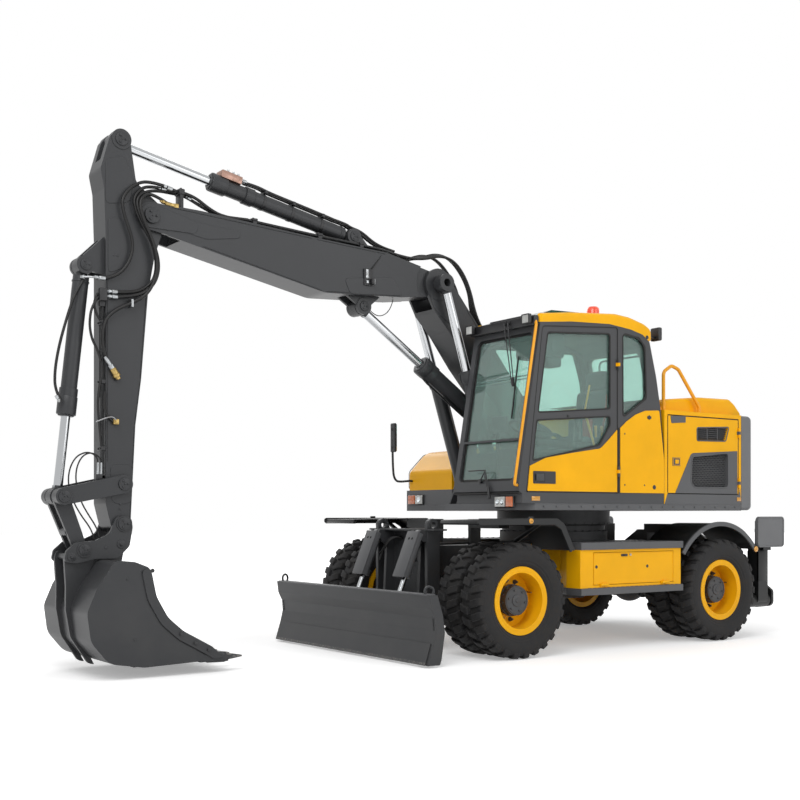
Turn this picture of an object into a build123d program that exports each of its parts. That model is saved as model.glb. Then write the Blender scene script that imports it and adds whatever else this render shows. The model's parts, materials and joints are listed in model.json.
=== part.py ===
from build123d import *
import os
from math import atan2, cos, degrees, hypot, pi, radians, sin, sqrt

# Wheeled excavator with a two-piece boom, front dozer blade and rear outriggers.
# Millimetres. While it is drawn, X points forward from the slewing axis, Y to the
# left and Z up from the ground; export moves the origin to the bottom centre.

# ---------------------------------------------------------------- driving sizes
WHEELBASE = 2600
FRONT_AXLE_X = 1500
REAR_AXLE_X = FRONT_AXLE_X - WHEELBASE
OVERALL_WIDTH = 2540
HALF_WIDTH = OVERALL_WIDTH / 2
UPPER_HALF = 1245            # half width of the slewing platform
TAIL_RADIUS = 2000           # swing radius of the counterweight

TYRE_RADIUS = 503
TYRE_WIDTH = 278
TWIN_GAP = 42
RIM_FLANGE_RADIUS = 297
BEAD_RADIUS = 257
RIM_WIDTH = 210              # over the flanges
FLANGE = 10
HUB_RADIUS = 127
HUB_FACE = 1176              # |y| of the hub's outer face
SPINDLE_RADIUS = 60
KINGPIN_Y = 700
RUN_FIT = 0.1                # radial clearance of a shaft in its bore
SEAT = 0.3                   # clearance between a piece and its seat
OUTER_TYRE_Y = HALF_WIDTH - TYRE_WIDTH / 2
INNER_TYRE_Y = OUTER_TYRE_Y - TYRE_WIDTH - TWIN_GAP

FRAME_HALF = 330             # undercarriage box frame
FRAME_WIDE = 560             # the same under the slewing ring
FRAME_END = 1760
FRAME_Z = (690, 960)
TOWER_RADIUS = 545
RACE_RADIUS = 520
UPPER_RACE_RADIUS = 570
DECK_Z = (1285, 1345)        # slewing platform plate

# pivots (x, z), all across the machine
BOOM_FOOT = (250, 1800)
LIFT_BASE = (960, 1480)
KNEE = (1583, 3389)
KNEE_CYL_BASE = (825, 2078)
KNEE_CYL_EYE = (2365, 3121)
ARM_PIVOT = (4425, 3613)
ARM_CYL_BASE = (2460, 3735)
ARM_CYL_EYE = (4660, 4185)
BUCKET_CYL_BASE = (4929, 3180)
ROCKER_PIVOT = (4652, 1485)
LINK_PIN = (5128, 1385)
BUCKET_PIVOT = (4652, 1175)
LINK_FOOT = (4970, 976)
BUCKET_BOLTS = ((4675, 1015), (5068, 925))
BOLT_RADIUS = 24
BLADE_PIVOT = (1850, 430)
BLADE_CYL_BASE = (1935, 1060)
BLADE_CYL_EYE = (2190, 455)
LIFT_LANE = 250              # |y| of the two lift cylinders
BLADE_LANE = 336             # |y| of the two blade cylinders
ARM_HALF = 130
BOOM_HALF = 160              # both boom pieces
FORK_GAP = 4                 # side gap between a boss and the fork round it
EAR = 26                     # fork plate
ROCKER_Y = (136, 168)        # side links, |y|
PUSH_Y = (56, 92)            # push link plates, |y|

# outrigger pivots (y, z), fore and aft pins
OUTRIGGER_X = -1850
LEG_PIVOT = (1075, 360)
LEG_CYL_BASE = (330, 880)
LEG_CYL_EYE = (1010, 600)
LUG = (1839, 1150)           # lashing lug over the front axle (x, z)
LUG_BORE = 28

# Hydraulic cylinders: outer radii, width of the eyes, and how far the rod goes in and out from its rest place.
CYLINDERS = {
    "lift": dict(barrel=66, rod=42, eye=82, width=92, inward=545, outward=365, ends=(25, 60, 60)),
    "knee": dict(barrel=82, rod=42, eye=78, width=104, inward=380, outward=335, ends=(25, 60, 60)),
    "arm": dict(barrel=66, rod=38, eye=76, width=96, inward=530, outward=340, ends=(25, 60, 60)),
    "bucket": dict(barrel=62, rod=36, eye=70, width=96, inward=370, outward=460, ends=(25, 60, 60)),
    "blade": dict(barrel=42, rod=24, eye=48, width=44, inward=205, outward=74, ends=(12, 30, 36)),
    "leg": dict(barrel=52, rod=26, eye=52, width=60, inward=4, outward=430, ends=(25, 60, 60)),
}
PIN_RATIO = 0.45             # pin radius over eye radius
HINGE_RADIUS = 13
HINGE_PIN = 7
HINGE_LENGTH = 96
HINGE_LEAF = 24
HINGE_EDGE = 6               # leaf length that hangs over the gap between the two faces
LANE_GAP = 4                 # side gap between an eye and the ears round it


# ---------------------------------------------------------------- drawing helpers
def _closed(points):
    """Closed outline from (u, v) or (u, v, corner radius) points."""
    flat = [(p[0], p[1]) for p in points]
    radii = [p[2] if len(p) > 2 else 0 for p in points]
    if any(radii):
        return make_face(FilletPolyline(*flat, radius=radii, close=True))
    return make_face(Polyline(*flat, close=True))


def block(x0, x1, y0, y1, z0, z1):
    centre = ((x0 + x1) / 2, (y0 + y1) / 2, (z0 + z1) / 2)
    return Pos(*centre) * Box(abs(x1 - x0), abs(y1 - y0), abs(z1 - z0))


def slab(outline, y0, y1):
    """Plate with an (x, z) outline, from y0 to y1."""
    face = Plane(origin=(0, y0, 0), x_dir=(1, 0, 0), z_dir=(0, -1, 0)) * _closed(outline)
    return extrude(face, amount=y1 - y0, dir=(0, 1, 0))


def deck(outline, z0, z1):
    """Plate with an (x, y) outline, from z0 to z1."""
    return extrude(Pos(0, 0, z0) * _closed(outline), amount=z1 - z0, dir=(0, 0, 1))


def wall(outline, x0, x1):
    """Plate with a (y, z) outline, from x0 to x1."""
    face = Plane(origin=(x0, 0, 0), x_dir=(0, 1, 0), z_dir=(1, 0, 0)) * _closed(outline)
    return extrude(face, amount=x1 - x0, dir=(1, 0, 0))


def inset(outline, gap=SEAT):
    """The outline's face drawn in by a gap, for a pane in its frame."""
    return offset(_closed(outline), amount=-gap, kind=Kind.INTERSECTION)


def pane(outline, y0, y1):
    """Sheet with an (x, z) outline that fits an opening of the same outline."""
    place = Plane(origin=(0, y0, 0), x_dir=(1, 0, 0), z_dir=(0, -1, 0))
    return extrude(place * inset(outline), amount=y1 - y0, dir=(0, 1, 0))


def rounded(shape, radius, choose):
    """The shape with the chosen edges rounded."""
    return fillet([e for e in shape.edges() if choose(e.center())], radius)


def bar(p, q, radius):
    """Round bar between two points."""
    axis = Vector(*q) - Vector(*p)
    place = Plane(origin=p, z_dir=axis)
    return place * Cylinder(radius, axis.length, align=(Align.CENTER, Align.CENTER, Align.MIN))


def cross(pivot, radius, y0, y1):
    """Round bar across the machine at an (x, z) pivot."""
    return bar((pivot[0], y0, pivot[1]), (pivot[0], y1, pivot[1]), radius)


def both(shape):
    """The shape and its mirror image on the other side."""
    return shape + mirror(shape, about=Plane.XZ)


def bent(points, radii, radius, inner=0):
    """Tube of a radius along straight runs with bends, hollow where inner is given."""
    path = FilletPolyline(*points, radius=radii) if radii else Polyline(*points)
    section = Plane(origin=path @ 0, z_dir=path % 0) * Circle(radius)
    tube = sweep(section, path=path)
    if inner:
        tube -= sweep(Plane(origin=path @ 0, z_dir=path % 0) * Circle(inner), path=path)
    return tube


def tangent_hull(a, ra, b, rb):
    """Outline of the belt round two circles, as an (x, z) or (y, z) face."""
    ax, az = a
    bx, bz = b
    length = hypot(bx - ax, bz - az)
    along = atan2(bz - az, bx - ax)
    lean = atan2(sqrt(max(length**2 - (ra - rb) ** 2, 1e-9)), ra - rb)
    up, down = along + lean, along - lean
    def at(c, r, t):
        return (c[0] + r * cos(t), c[1] + r * sin(t))
    top = Line(at(a, ra, up), at(b, rb, up))
    nose = ThreePointArc(at(b, rb, up), at(b, rb, along), at(b, rb, down))
    bottom = Line(at(b, rb, down), at(a, ra, down))
    tail = ThreePointArc(at(a, ra, down), at(a, ra, along + pi), at(a, ra, up))
    return make_face(Wire([top, nose, bottom, tail]))


def link(a, ra, b, rb, y0, y1):
    """Link plate with round ends about two (x, z) pivots."""
    place = Plane(origin=(0, y0, 0), x_dir=(1, 0, 0), z_dir=(0, -1, 0))
    return extrude(place * tangent_hull(a, ra, b, rb), amount=y1 - y0, dir=(0, 1, 0))


def cylinder_pair(base, eye, size):
    """Barrel and rod of a hydraulic cylinder along local X, pins along local Z."""
    length = hypot(eye[0] - base[0], eye[1] - base[1])
    ring = size["eye"]
    pin = ring * PIN_RATIO
    bore = size["barrel"] - 12
    cap, piston, gland = size["ends"]
    chamber = ring + cap
    piston_at = chamber + size["inward"]
    mouth = piston_at + piston + size["outward"] + gland
    neck = size["width"] / 2 - 3

    def along(radius, x0, x1):
        return bar((x0, 0, 0), (x1, 0, 0), radius)

    def across(radius, width, x=0):
        return bar((x, 0, -width / 2), (x, 0, width / 2), radius)

    barrel = along(min(neck, size["barrel"]), ring * 0.7, ring + 30)
    barrel += along(size["barrel"], ring + cap / 2, mouth)
    barrel += along(size["barrel"] + 9, mouth - gland - 20, mouth)
    barrel += across(ring, size["width"])
    barrel -= along(bore, chamber, mouth - gland)
    barrel -= along(size["rod"] + RUN_FIT, mouth - gland - 10, mouth + 5)
    barrel -= across(pin + RUN_FIT, size["width"] + 2)
    rod = along(size["rod"], piston_at, length - ring * 0.8)
    rod += along(bore - RUN_FIT, piston_at, piston_at + piston)
    rod += across(ring, size["width"], length)
    rod += along(min(neck, size["rod"] + 8), length - ring - 14, length - ring * 0.8)
    rod -= across(pin + RUN_FIT, size["width"] + 2, length)
    return barrel, rod


def in_side_view(shape, base, eye, lane):
    """Puts a cylinder piece in the side view, at the given |y| lane."""
    heading = (eye[0] - base[0], 0, eye[1] - base[1])
    return Plane(origin=(base[0], lane, base[1]), x_dir=heading, z_dir=(0, -1, 0)) * shape


def hinge(place):
    """Pin hinge about the place's Z: the leaf on -X stays, the leaf on +X turns, both on the face below."""
    third = HINGE_LENGTH / 6
    fixed = bar((0, 0, -3 * third), (0, 0, 3 * third), HINGE_PIN)
    for z in (-2 * third, 2 * third):
        fixed += bar((0, 0, z - third), (0, 0, z + third), HINGE_RADIUS)
        fixed += block(-HINGE_LEAF, 0, -HINGE_RADIUS - 3, -HINGE_RADIUS + 5, z - third, z + third)
    moving = bar((0, 0, -third + SEAT), (0, 0, third - SEAT), HINGE_RADIUS)
    moving += block(0, HINGE_LEAF, -HINGE_RADIUS - 3, -HINGE_RADIUS + 5, -third + SEAT, third - SEAT)
    moving -= bar((0, 0, -third), (0, 0, third), HINGE_PIN + RUN_FIT)
    moving -= block(-HINGE_RADIUS, HINGE_EDGE, -HINGE_RADIUS - 4, -HINGE_RADIUS + 1, -third, third)
    fixed -= block(-HINGE_EDGE, HINGE_RADIUS, -HINGE_RADIUS - 4, -HINGE_RADIUS + 1, -3 * third, 3 * third)
    return place * fixed, place * moving


# ---------------------------------------------------------------- wheels and axles
def wheel_section(side):
    """Rims, spacer and hub of one twin wheel, turned about the axle."""
    def ring(y0, y1, r0, r1):
        return [(r0, y0), (r1, y0), (r1, y1), (r0, y1)]
    pieces = []
    for centre in (OUTER_TYRE_Y, INNER_TYRE_Y):
        lo, hi = centre - RIM_WIDTH / 2, centre + RIM_WIDTH / 2
        pieces.append(ring(lo, hi, BEAD_RADIUS - 14, BEAD_RADIUS - SEAT))
        pieces.append(ring(lo, lo + FLANGE, BEAD_RADIUS - 14, RIM_FLANGE_RADIUS))
        pieces.append(ring(hi - FLANGE, hi, BEAD_RADIUS - 14, RIM_FLANGE_RADIUS))
    outer_disc = OUTER_TYRE_Y - RIM_WIDTH / 2 + FLANGE
    inner_disc = INNER_TYRE_Y + RIM_WIDTH / 2 - 2 * FLANGE
    pieces.append(ring(outer_disc, outer_disc + 16, HUB_RADIUS - 10, BEAD_RADIUS - 5))
    pieces.append(ring(inner_disc, inner_disc + 16, HUB_RADIUS - 10, BEAD_RADIUS - 5))
    pieces.append(ring(inner_disc + 5, outer_disc + 5, 196, 212))
    hub_start = KINGPIN_Y + 70
    pieces.append(ring(hub_start, HUB_FACE, SPINDLE_RADIUS + RUN_FIT, HUB_RADIUS))
    pieces.append(ring(hub_start + 110, HUB_FACE, 0, HUB_RADIUS - 20))
    body = None
    for outline in pieces:
        face = make_face(Polyline(*[(r, y * side, 0) for r, y in outline], close=True))
        turned = revolve(face, axis=Axis.Y)
        body = turned if body is None else body + turned
    return body


def tyre(y, side):
    """One tyre as a turned section with round shoulders."""
    half = TYRE_WIDTH / 2
    bead = RIM_WIDTH / 2 - FLANGE - SEAT
    path = [(BEAD_RADIUS, -bead), (RIM_FLANGE_RADIUS + 12, -bead), (380, -half), (440, -half),
            (TYRE_RADIUS - 14, -half + 12), (TYRE_RADIUS, -half + 34),
            (TYRE_RADIUS, half - 34), (TYRE_RADIUS - 14, half - 12),
            (440, half), (380, half), (RIM_FLANGE_RADIUS + 12, bead), (BEAD_RADIUS, bead)]
    face = make_face(Polyline(*[(r, (y + t) * side, 0) for r, t in path], close=True))
    return revolve(face, axis=Axis.Y)


def wheels():
    nodes = {}
    for end, x in (("front", FRONT_AXLE_X), ("rear", REAR_AXLE_X)):
        for name, side in (("left", 1), ("right", -1)):
            place = Pos(x, 0, TYRE_RADIUS)
            nodes[f"{end}_{name}_rims"] = place * wheel_section(side)
            pair = [place * tyre(OUTER_TYRE_Y, side), place * tyre(INNER_TYRE_Y, side)]
            nodes[f"{end}_{name}_tyres"] = Compound(children=pair)
    return nodes


def axles():
    z = TYRE_RADIUS
    spindle_end = KINGPIN_Y + 165
    nodes = {}
    diff = Sphere(185) + bar((-250, 0, 0), (250, 0, 0), 95)
    yoke_arm = block(-70, 70, 530, KINGPIN_Y + 62, 128, 168) + block(-70, 70, 530, 590, -168, 168)
    yoke_arm += block(-70, 70, 530, KINGPIN_Y + 62, -168, -128)
    front = diff + bar((0, -560, 0), (0, 560, 0), 95) + both(yoke_arm)
    front += block(-110, 110, -230, 230, 90, FRAME_Z[0] - z - SEAT)
    front += bar((190, -260, 60), (190, 260, 60), 42) + both(block(95, 165, 110, 150, 20, 100))
    rear = diff + bar((0, -KINGPIN_Y - 60, 0), (0, KINGPIN_Y + 60, 0), 100)
    rear += bar((0, -spindle_end, 0), (0, spindle_end, 0), SPINDLE_RADIUS)
    rear += block(-130, 130, -300, 300, 80, FRAME_Z[0] - z - SEAT)
    nodes["front_axle"] = Pos(FRONT_AXLE_X, 0, z) * front
    nodes["rear_axle"] = Pos(REAR_AXLE_X, 0, z) * rear
    knuckle = bar((0, KINGPIN_Y - 45, 0), (0, KINGPIN_Y + 62, 0), 112)
    knuckle += bar((0, KINGPIN_Y + 60, 0), (0, spindle_end, 0), SPINDLE_RADIUS)
    knuckle += bar((0, KINGPIN_Y, SEAT - 128), (0, KINGPIN_Y, 128 - SEAT), 52)
    knuckle += block(80, 215, KINGPIN_Y - 40, KINGPIN_Y - 5, 45, 75)
    place = Pos(FRONT_AXLE_X, 0, z)
    nodes["left_knuckle"] = place * knuckle
    nodes["right_knuckle"] = place * mirror(knuckle, about=Plane.XZ)
    return nodes


# ---------------------------------------------------------------- undercarriage
def chassis():
    nodes = {}
    plan = [(FRAME_END, FRAME_HALF), (820, FRAME_HALF), (560, FRAME_WIDE), (-560, FRAME_WIDE),
            (-760, FRAME_HALF), (-1640, FRAME_HALF)]
    outline = plan + [(x, -y) for x, y in reversed(plan)]
    frame = deck(outline, *FRAME_Z)
    frame += bar((0, 0, FRAME_Z[1]), (0, 0, 1080), TOWER_RADIUS) + bar((0, 0, 1080), (0, 0, 1150), RACE_RADIUS)
    nodes["chassis_frame"] = frame
    gearbox = block(-260, 330, -180, 180, 400, FRAME_Z[0] - SEAT)
    shaft = bar((330, 0, TYRE_RADIUS), (FRONT_AXLE_X - 250 - SEAT, 0, TYRE_RADIUS), 38)
    shaft += bar((REAR_AXLE_X + 250 + SEAT, 0, TYRE_RADIUS), (-260, 0, TYRE_RADIUS), 38)
    nodes["driveline"] = gearbox + shaft
    inner = FRAME_WIDE + SEAT
    box_plan = [(800, UPPER_HALF - 15), (800, 1050), (735, 900), (735, 620), (560, inner),
                (-520, inner), (-520, UPPER_HALF - 15)]
    box = deck(box_plan, 581, 928)
    hollow = block(-420, 640, 720, UPPER_HALF, 606, 903)
    box_front = box - hollow
    door = block(-416, 636, UPPER_HALF - 48, UPPER_HALF - 15, 610, 899)
    for x in (-290, 510):
        fixed, moving = hinge(Plane(origin=(x, UPPER_HALF - 15 + HINGE_RADIUS, 608), x_dir=(0, 0, 1), z_dir=(-1, 0, 0)))
        box_front += fixed
        door += moving
    nodes["side_boxes"] = Compound(children=[*box_front.solids(), *mirror(box, about=Plane.XZ).solids()])
    nodes["toolbox_door"] = door
    step_plan = [(800, UPPER_HALF), (800, 1050), (735, 900), (735, 700), (-540, 700), (-540, UPPER_HALF)]
    low = deck(step_plan, 518, 581 - SEAT)
    top = deck([(800, UPPER_HALF), (800, 1050), (720, 900), (600, 575), (-540, 575), (-540, UPPER_HALF)],
               928 + SEAT, 993)
    steps = [low, top, mirror(low, about=Plane.XZ), mirror(top, about=Plane.XZ)]
    nodes["running_boards"] = Compound(children=steps)
    return nodes


def fenders():
    front_path = [(877, 938), (1000, 1165, 60), (1080, 1212, 40), (1963, 1200)]
    thick = 12
    lower = [(p[0] + 6, p[1] - thick, *p[2:]) for p in front_path]
    front = slab(front_path + lower[::-1], 700, 1240)
    front += block(1200, 1320, FRAME_HALF - 60, 720, 1120, 1204)
    front += block(1200, 1320, FRAME_HALF - 60, FRAME_HALF - 20, FRAME_Z[1] + SEAT, 1120)
    r = 672
    centre = (REAR_AXLE_X, 490)
    ring = Plane(origin=(centre[0], 700, centre[1]), x_dir=(1, 0, 0), z_dir=(0, -1, 0)) * (
        make_face(Wire([
            CenterArc((0, 0), r, 35, 107),
            Line((r * cos(radians(142)), r * sin(radians(142))),
                 ((r - thick) * cos(radians(142)), (r - thick) * sin(radians(142)))),
            CenterArc((0, 0), r - thick, 35, 107),
            Line((r * cos(radians(35)), r * sin(radians(35))),
                 ((r - thick) * cos(radians(35)), (r - thick) * sin(radians(35))))])))
    rear = extrude(ring, amount=540, dir=(0, 1, 0))
    lip = Plane(origin=(centre[0], 1222, centre[1]), x_dir=(1, 0, 0), z_dir=(0, -1, 0)) * (
        make_face(Wire([
            CenterArc((0, 0), r + 14, 35, 107),
            Line(((r + 14) * cos(radians(142)), (r + 14) * sin(radians(142))),
                 ((r - 30) * cos(radians(142)), (r - 30) * sin(radians(142)))),
            CenterArc((0, 0), r - 30, 35, 107),
            Line(((r + 14) * cos(radians(35)), (r + 14) * sin(radians(35))),
                 ((r - 30) * cos(radians(35)), (r - 30) * sin(radians(35))))])))
    rear += extrude(lip, amount=18, dir=(0, 1, 0))
    rear += block(REAR_AXLE_X - 60, REAR_AXLE_X + 60, FRAME_HALF - 60, 720, 1060, 1150)
    rear += block(REAR_AXLE_X - 60, REAR_AXLE_X + 60, FRAME_HALF - 60, FRAME_HALF - 20, FRAME_Z[1] + SEAT, 1080)
    return {"front_fenders": both(front), "rear_fenders": both(rear)}


def blade_bracket():
    lug = LUG
    back = FRAME_END + SEAT
    side = [(lug[0] + 60, lug[1]), (1900, 1108), (1900, 560), (1925, 430, 60), (1860, 350, 60), (1770, 420, 40),
            (back, 700), (back, 1108), (lug[0] - 60, lug[1])]
    plate = slab(side, 376, 416) + cross(lug, 60, 376, 416) - cross(lug, LUG_BORE, 370, 420)
    inner = slab([(1960, 1105), (1990, 1060, 30), (1935, 1000, 30), (1880, 960), (1900, 560), (1925, 430, 60), (1860, 350, 60),
                  (1770, 420, 40), (back, 700), (back, 1105)], 256, 292)
    outer_ear = slab([(1899, 1105), (1960, 1105), (1990, 1060, 30), (1935, 1000, 30), (1899, 1000)], 376, 400)
    shelf = block(back, 1905, -522, 522, 1100, 1116)
    web = block(back, 1790, -416, 416, 470, 1105)
    body = both(plate + inner + outer_ear) + shelf + web
    pins = both(cross(BLADE_PIVOT, 34, 256, 416) + cross(BLADE_CYL_BASE, 48 * PIN_RATIO, 270, 395))
    return {"blade_bracket": body + pins}


def blade():
    front = [(2505, 590), (2490, 480), (2449, 400), (2441, 300), (2464, 200), (2520, 25)]
    back = [(2492, 25), (2436, 190), (2413, 300), (2421, 410), (2450, 500), (2440, 590)]
    board = slab(front + back, -HALF_WIDTH + 28, HALF_WIDTH - 28)
    end = [(2520, 20), (2464, 200), (2441, 300), (2449, 400), (2490, 480), (2505, 590), (2425, 590),
           (2370, 420), (2350, 280), (2385, 60), (2400, 20)]
    body = board + both(slab(end, HALF_WIDTH - 30, HALF_WIDTH))
    arm = link(BLADE_PIVOT, 62, (2430, 290), 92, 304, 368)
    arm -= block(2425, 2700, 200, 460, 0, 700)
    ear = slab([(2080, 400), (2150, 500, 20), (2215, 500, 20), (2300, 360)], 294, 308) + cross(BLADE_CYL_EYE, 50, 294, 308)
    other = slab([(2080, 400), (2150, 500, 20), (2215, 500, 20), (2300, 360)], 364, 378) + cross(BLADE_CYL_EYE, 50, 364, 378)
    arm -= link(BLADE_CYL_EYE, 62, (BLADE_CYL_EYE[0] - 60, BLADE_CYL_EYE[1] + 60), 70, 308, 364)
    arm -= cross(BLADE_PIVOT, 34 + RUN_FIT, 290, 380)
    body += both(arm + ear + other)
    ring = Plane(origin=(2455, 1194, 620), z_dir=(0.35, 0.93, 0)) * Torus(38, 10)
    body += both(ring)
    return {"dozer_blade": body}


def outriggers():
    nodes = {}
    x0, x1 = OUTRIGGER_X - 75, OUTRIGGER_X + 75
    frame = wall([(-1150, 300, 60), (-1150, 620, 40), (-420, 1080, 40), (420, 1080, 40), (1150, 620, 40), (1150, 300, 60),
                  (950, 270, 40), (300, 520), (-300, 520), (-950, 270, 40)], -1700, -1668)
    frame += wall([(-1150, 300, 60), (-1150, 460, 40), (-420, 960, 40), (420, 960, 40), (1150, 460, 40), (1150, 300, 60),
                   (950, 270, 40), (300, 520), (-300, 520), (-950, 270, 40)], -2032, -2000)
    frame += block(-2000, -1668, -280, 280, 520, 960) + block(-1700, -1640 - SEAT, -300, 300, 640, 960)
    pin_r = 34
    pins = both(bar((-2032, LEG_PIVOT[0], LEG_PIVOT[1]), (-1668, LEG_PIVOT[0], LEG_PIVOT[1]), pin_r)
                + bar((-2010, LEG_CYL_BASE[0], LEG_CYL_BASE[1]), (-1690, LEG_CYL_BASE[0], LEG_CYL_BASE[1]), 52 * PIN_RATIO))
    frame -= both(block(-1995, -1705, LEG_CYL_BASE[0] - 60, LEG_CYL_BASE[0] + 260, LEG_CYL_BASE[1] - 70, LEG_CYL_BASE[1] + 90))
    nodes["outrigger_frame"] = frame + pins
    leg = wall([(LEG_PIVOT[0] - 60, 330, 30), (LEG_PIVOT[0] - 50, 900), (1160, 900), (1160, 330, 50)], x0, x1)
    leg += bar((x0 - 60, *LEG_PIVOT), (x1 + 60, *LEG_PIVOT), 70)
    leg -= block(OUTRIGGER_X - 40, OUTRIGGER_X + 40, LEG_PIVOT[0] - 80, 1142, LEG_PIVOT[1] + 72, 730)
    leg += bar((x0, *LEG_CYL_EYE), (OUTRIGGER_X - 34, *LEG_CYL_EYE), 36)
    leg += bar((OUTRIGGER_X + 34, *LEG_CYL_EYE), (x1, *LEG_CYL_EYE), 36)
    leg -= bar((x0 - 70, *LEG_PIVOT), (x1 + 70, *LEG_PIVOT), pin_r + RUN_FIT)
    leg -= bar((OUTRIGGER_X - 34, *LEG_CYL_EYE), (OUTRIGGER_X + 34, *LEG_CYL_EYE), 60)
    pad = slab([(OUTRIGGER_X - 235, 912, 50), (OUTRIGGER_X - 235, 1226, 50), (OUTRIGGER_X + 185, 1226, 50), (OUTRIGGER_X + 185, 912, 50)], 1205, 1238)
    pad += slab([(OUTRIGGER_X - 150, 960), (OUTRIGGER_X - 150, 1180), (OUTRIGGER_X - 120, 1180), (OUTRIGGER_X - 120, 960)], 1165, 1205)
    pad += slab([(OUTRIGGER_X + 110, 960), (OUTRIGGER_X + 110, 1180), (OUTRIGGER_X + 140, 1180), (OUTRIGGER_X + 140, 960)], 1165, 1205)
    pad += block(OUTRIGGER_X - 60, OUTRIGGER_X + 60, 1100, 1210, 880, 1100)
    leg += pad
    barrel, rod = cylinder_pair(LEG_CYL_BASE, LEG_CYL_EYE, CYLINDERS["leg"])
    place = Plane(origin=(OUTRIGGER_X, *LEG_CYL_BASE),
                  x_dir=(0, LEG_CYL_EYE[0] - LEG_CYL_BASE[0], LEG_CYL_EYE[1] - LEG_CYL_BASE[1]), z_dir=(1, 0, 0))
    for name, flip in (("left", False), ("right", True)):
        for piece, shape in (("leg", leg), ("barrel", place * barrel), ("rod", place * rod)):
            nodes[f"{name}_outrigger_{piece}"] = mirror(shape, about=Plane.XZ) if flip else shape
    return nodes


# ---------------------------------------------------------------- slewing upper structure
CAB_Y = (335, UPPER_HALF)
CAB_WALL = 55
CAB_FLOOR = DECK_Z[1]
CAB_REAR = -270
BAY_X = (-1395, -278)        # engine bay, along the machine
HOUSE_TOP = 2240
HOOD_HINGE = -342            # x of the hood's hinge line
SKIRT_TOP = 1447             # lower edge of the doors and side panels
GRILLES = (((-669, 1802, 20), (-1184, 1850, 20), (-1184, 1518, 20), (-700, 1511, 30), (-650, 1560, 30)),
           ((-741, 2085, 12), (-1199, 2108, 12), (-1154, 1978, 12), (-741, 1969, 12)))


def platform():
    plan = [(1500, 150), (1500, 1090), (1350, UPPER_HALF), (-1395, UPPER_HALF), (-1395, -UPPER_HALF), (950, -UPPER_HALF),
            (950, -460), (1130, -440), (1130, -150), (1130, 150)]
    body = deck(plan, *DECK_Z)
    body += bar((0, 0, 1150 + SEAT), (0, 0, DECK_Z[0]), UPPER_RACE_RADIUS)
    rib = [(1110, DECK_Z[1]), (1060, 1470, 40), (800, 1490), (480, 1580, 60), (385, 1700, 60),
           (340, 1840), (100, 1840), (-268, 1480), (-268, DECK_Z[1])]
    body += both(slab(rib, 145, 184))
    body += both(cross(BOOM_FOOT, 130, 145, 184))
    lift_ear = [(870, DECK_Z[1]), (880, 1480), (1040, 1480), (1100, DECK_Z[1])]
    body += both(slab(lift_ear, 184, 200) + cross(LIFT_BASE, 84, 184, 200))
    body += both(slab(lift_ear, 300, 320) + cross(LIFT_BASE, 84, 300, 320))
    body += cross(BOOM_FOOT, 55, -190, 190)
    body += both(cross(LIFT_BASE, 82 * PIN_RATIO, 184, 322))
    return {"platform": body}


def counterweight():
    seam = BAY_X[0] - SEAT
    edge = UPPER_HALF - 40
    a = sqrt(TAIL_RADIUS**2 - edge**2)
    tail = ThreePointArc((-a, edge), (-TAIL_RADIUS, 0), (-a, -edge))
    left = Polyline((-a, edge), (-a + 60, UPPER_HALF), (seam, UPPER_HALF), (seam, 0))
    right = Polyline((seam, 0), (seam, -UPPER_HALF), (-a + 60, -UPPER_HALF), (-a, -edge))
    plan = Pos(0, 0, DECK_Z[0] + 5) * make_face(Wire([tail, *left.edges(), *right.edges()]))
    mass = extrude(plan, amount=HOUSE_TOP - DECK_Z[0] - 5, dir=(0, 0, 1))
    return {"counterweight": rounded(mass, 45, lambda c: c.X < seam - 20 and c.Z > HOUSE_TOP - 1 or c.Z < DECK_Z[0] + 6 and c.X < seam - 20)}


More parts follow.
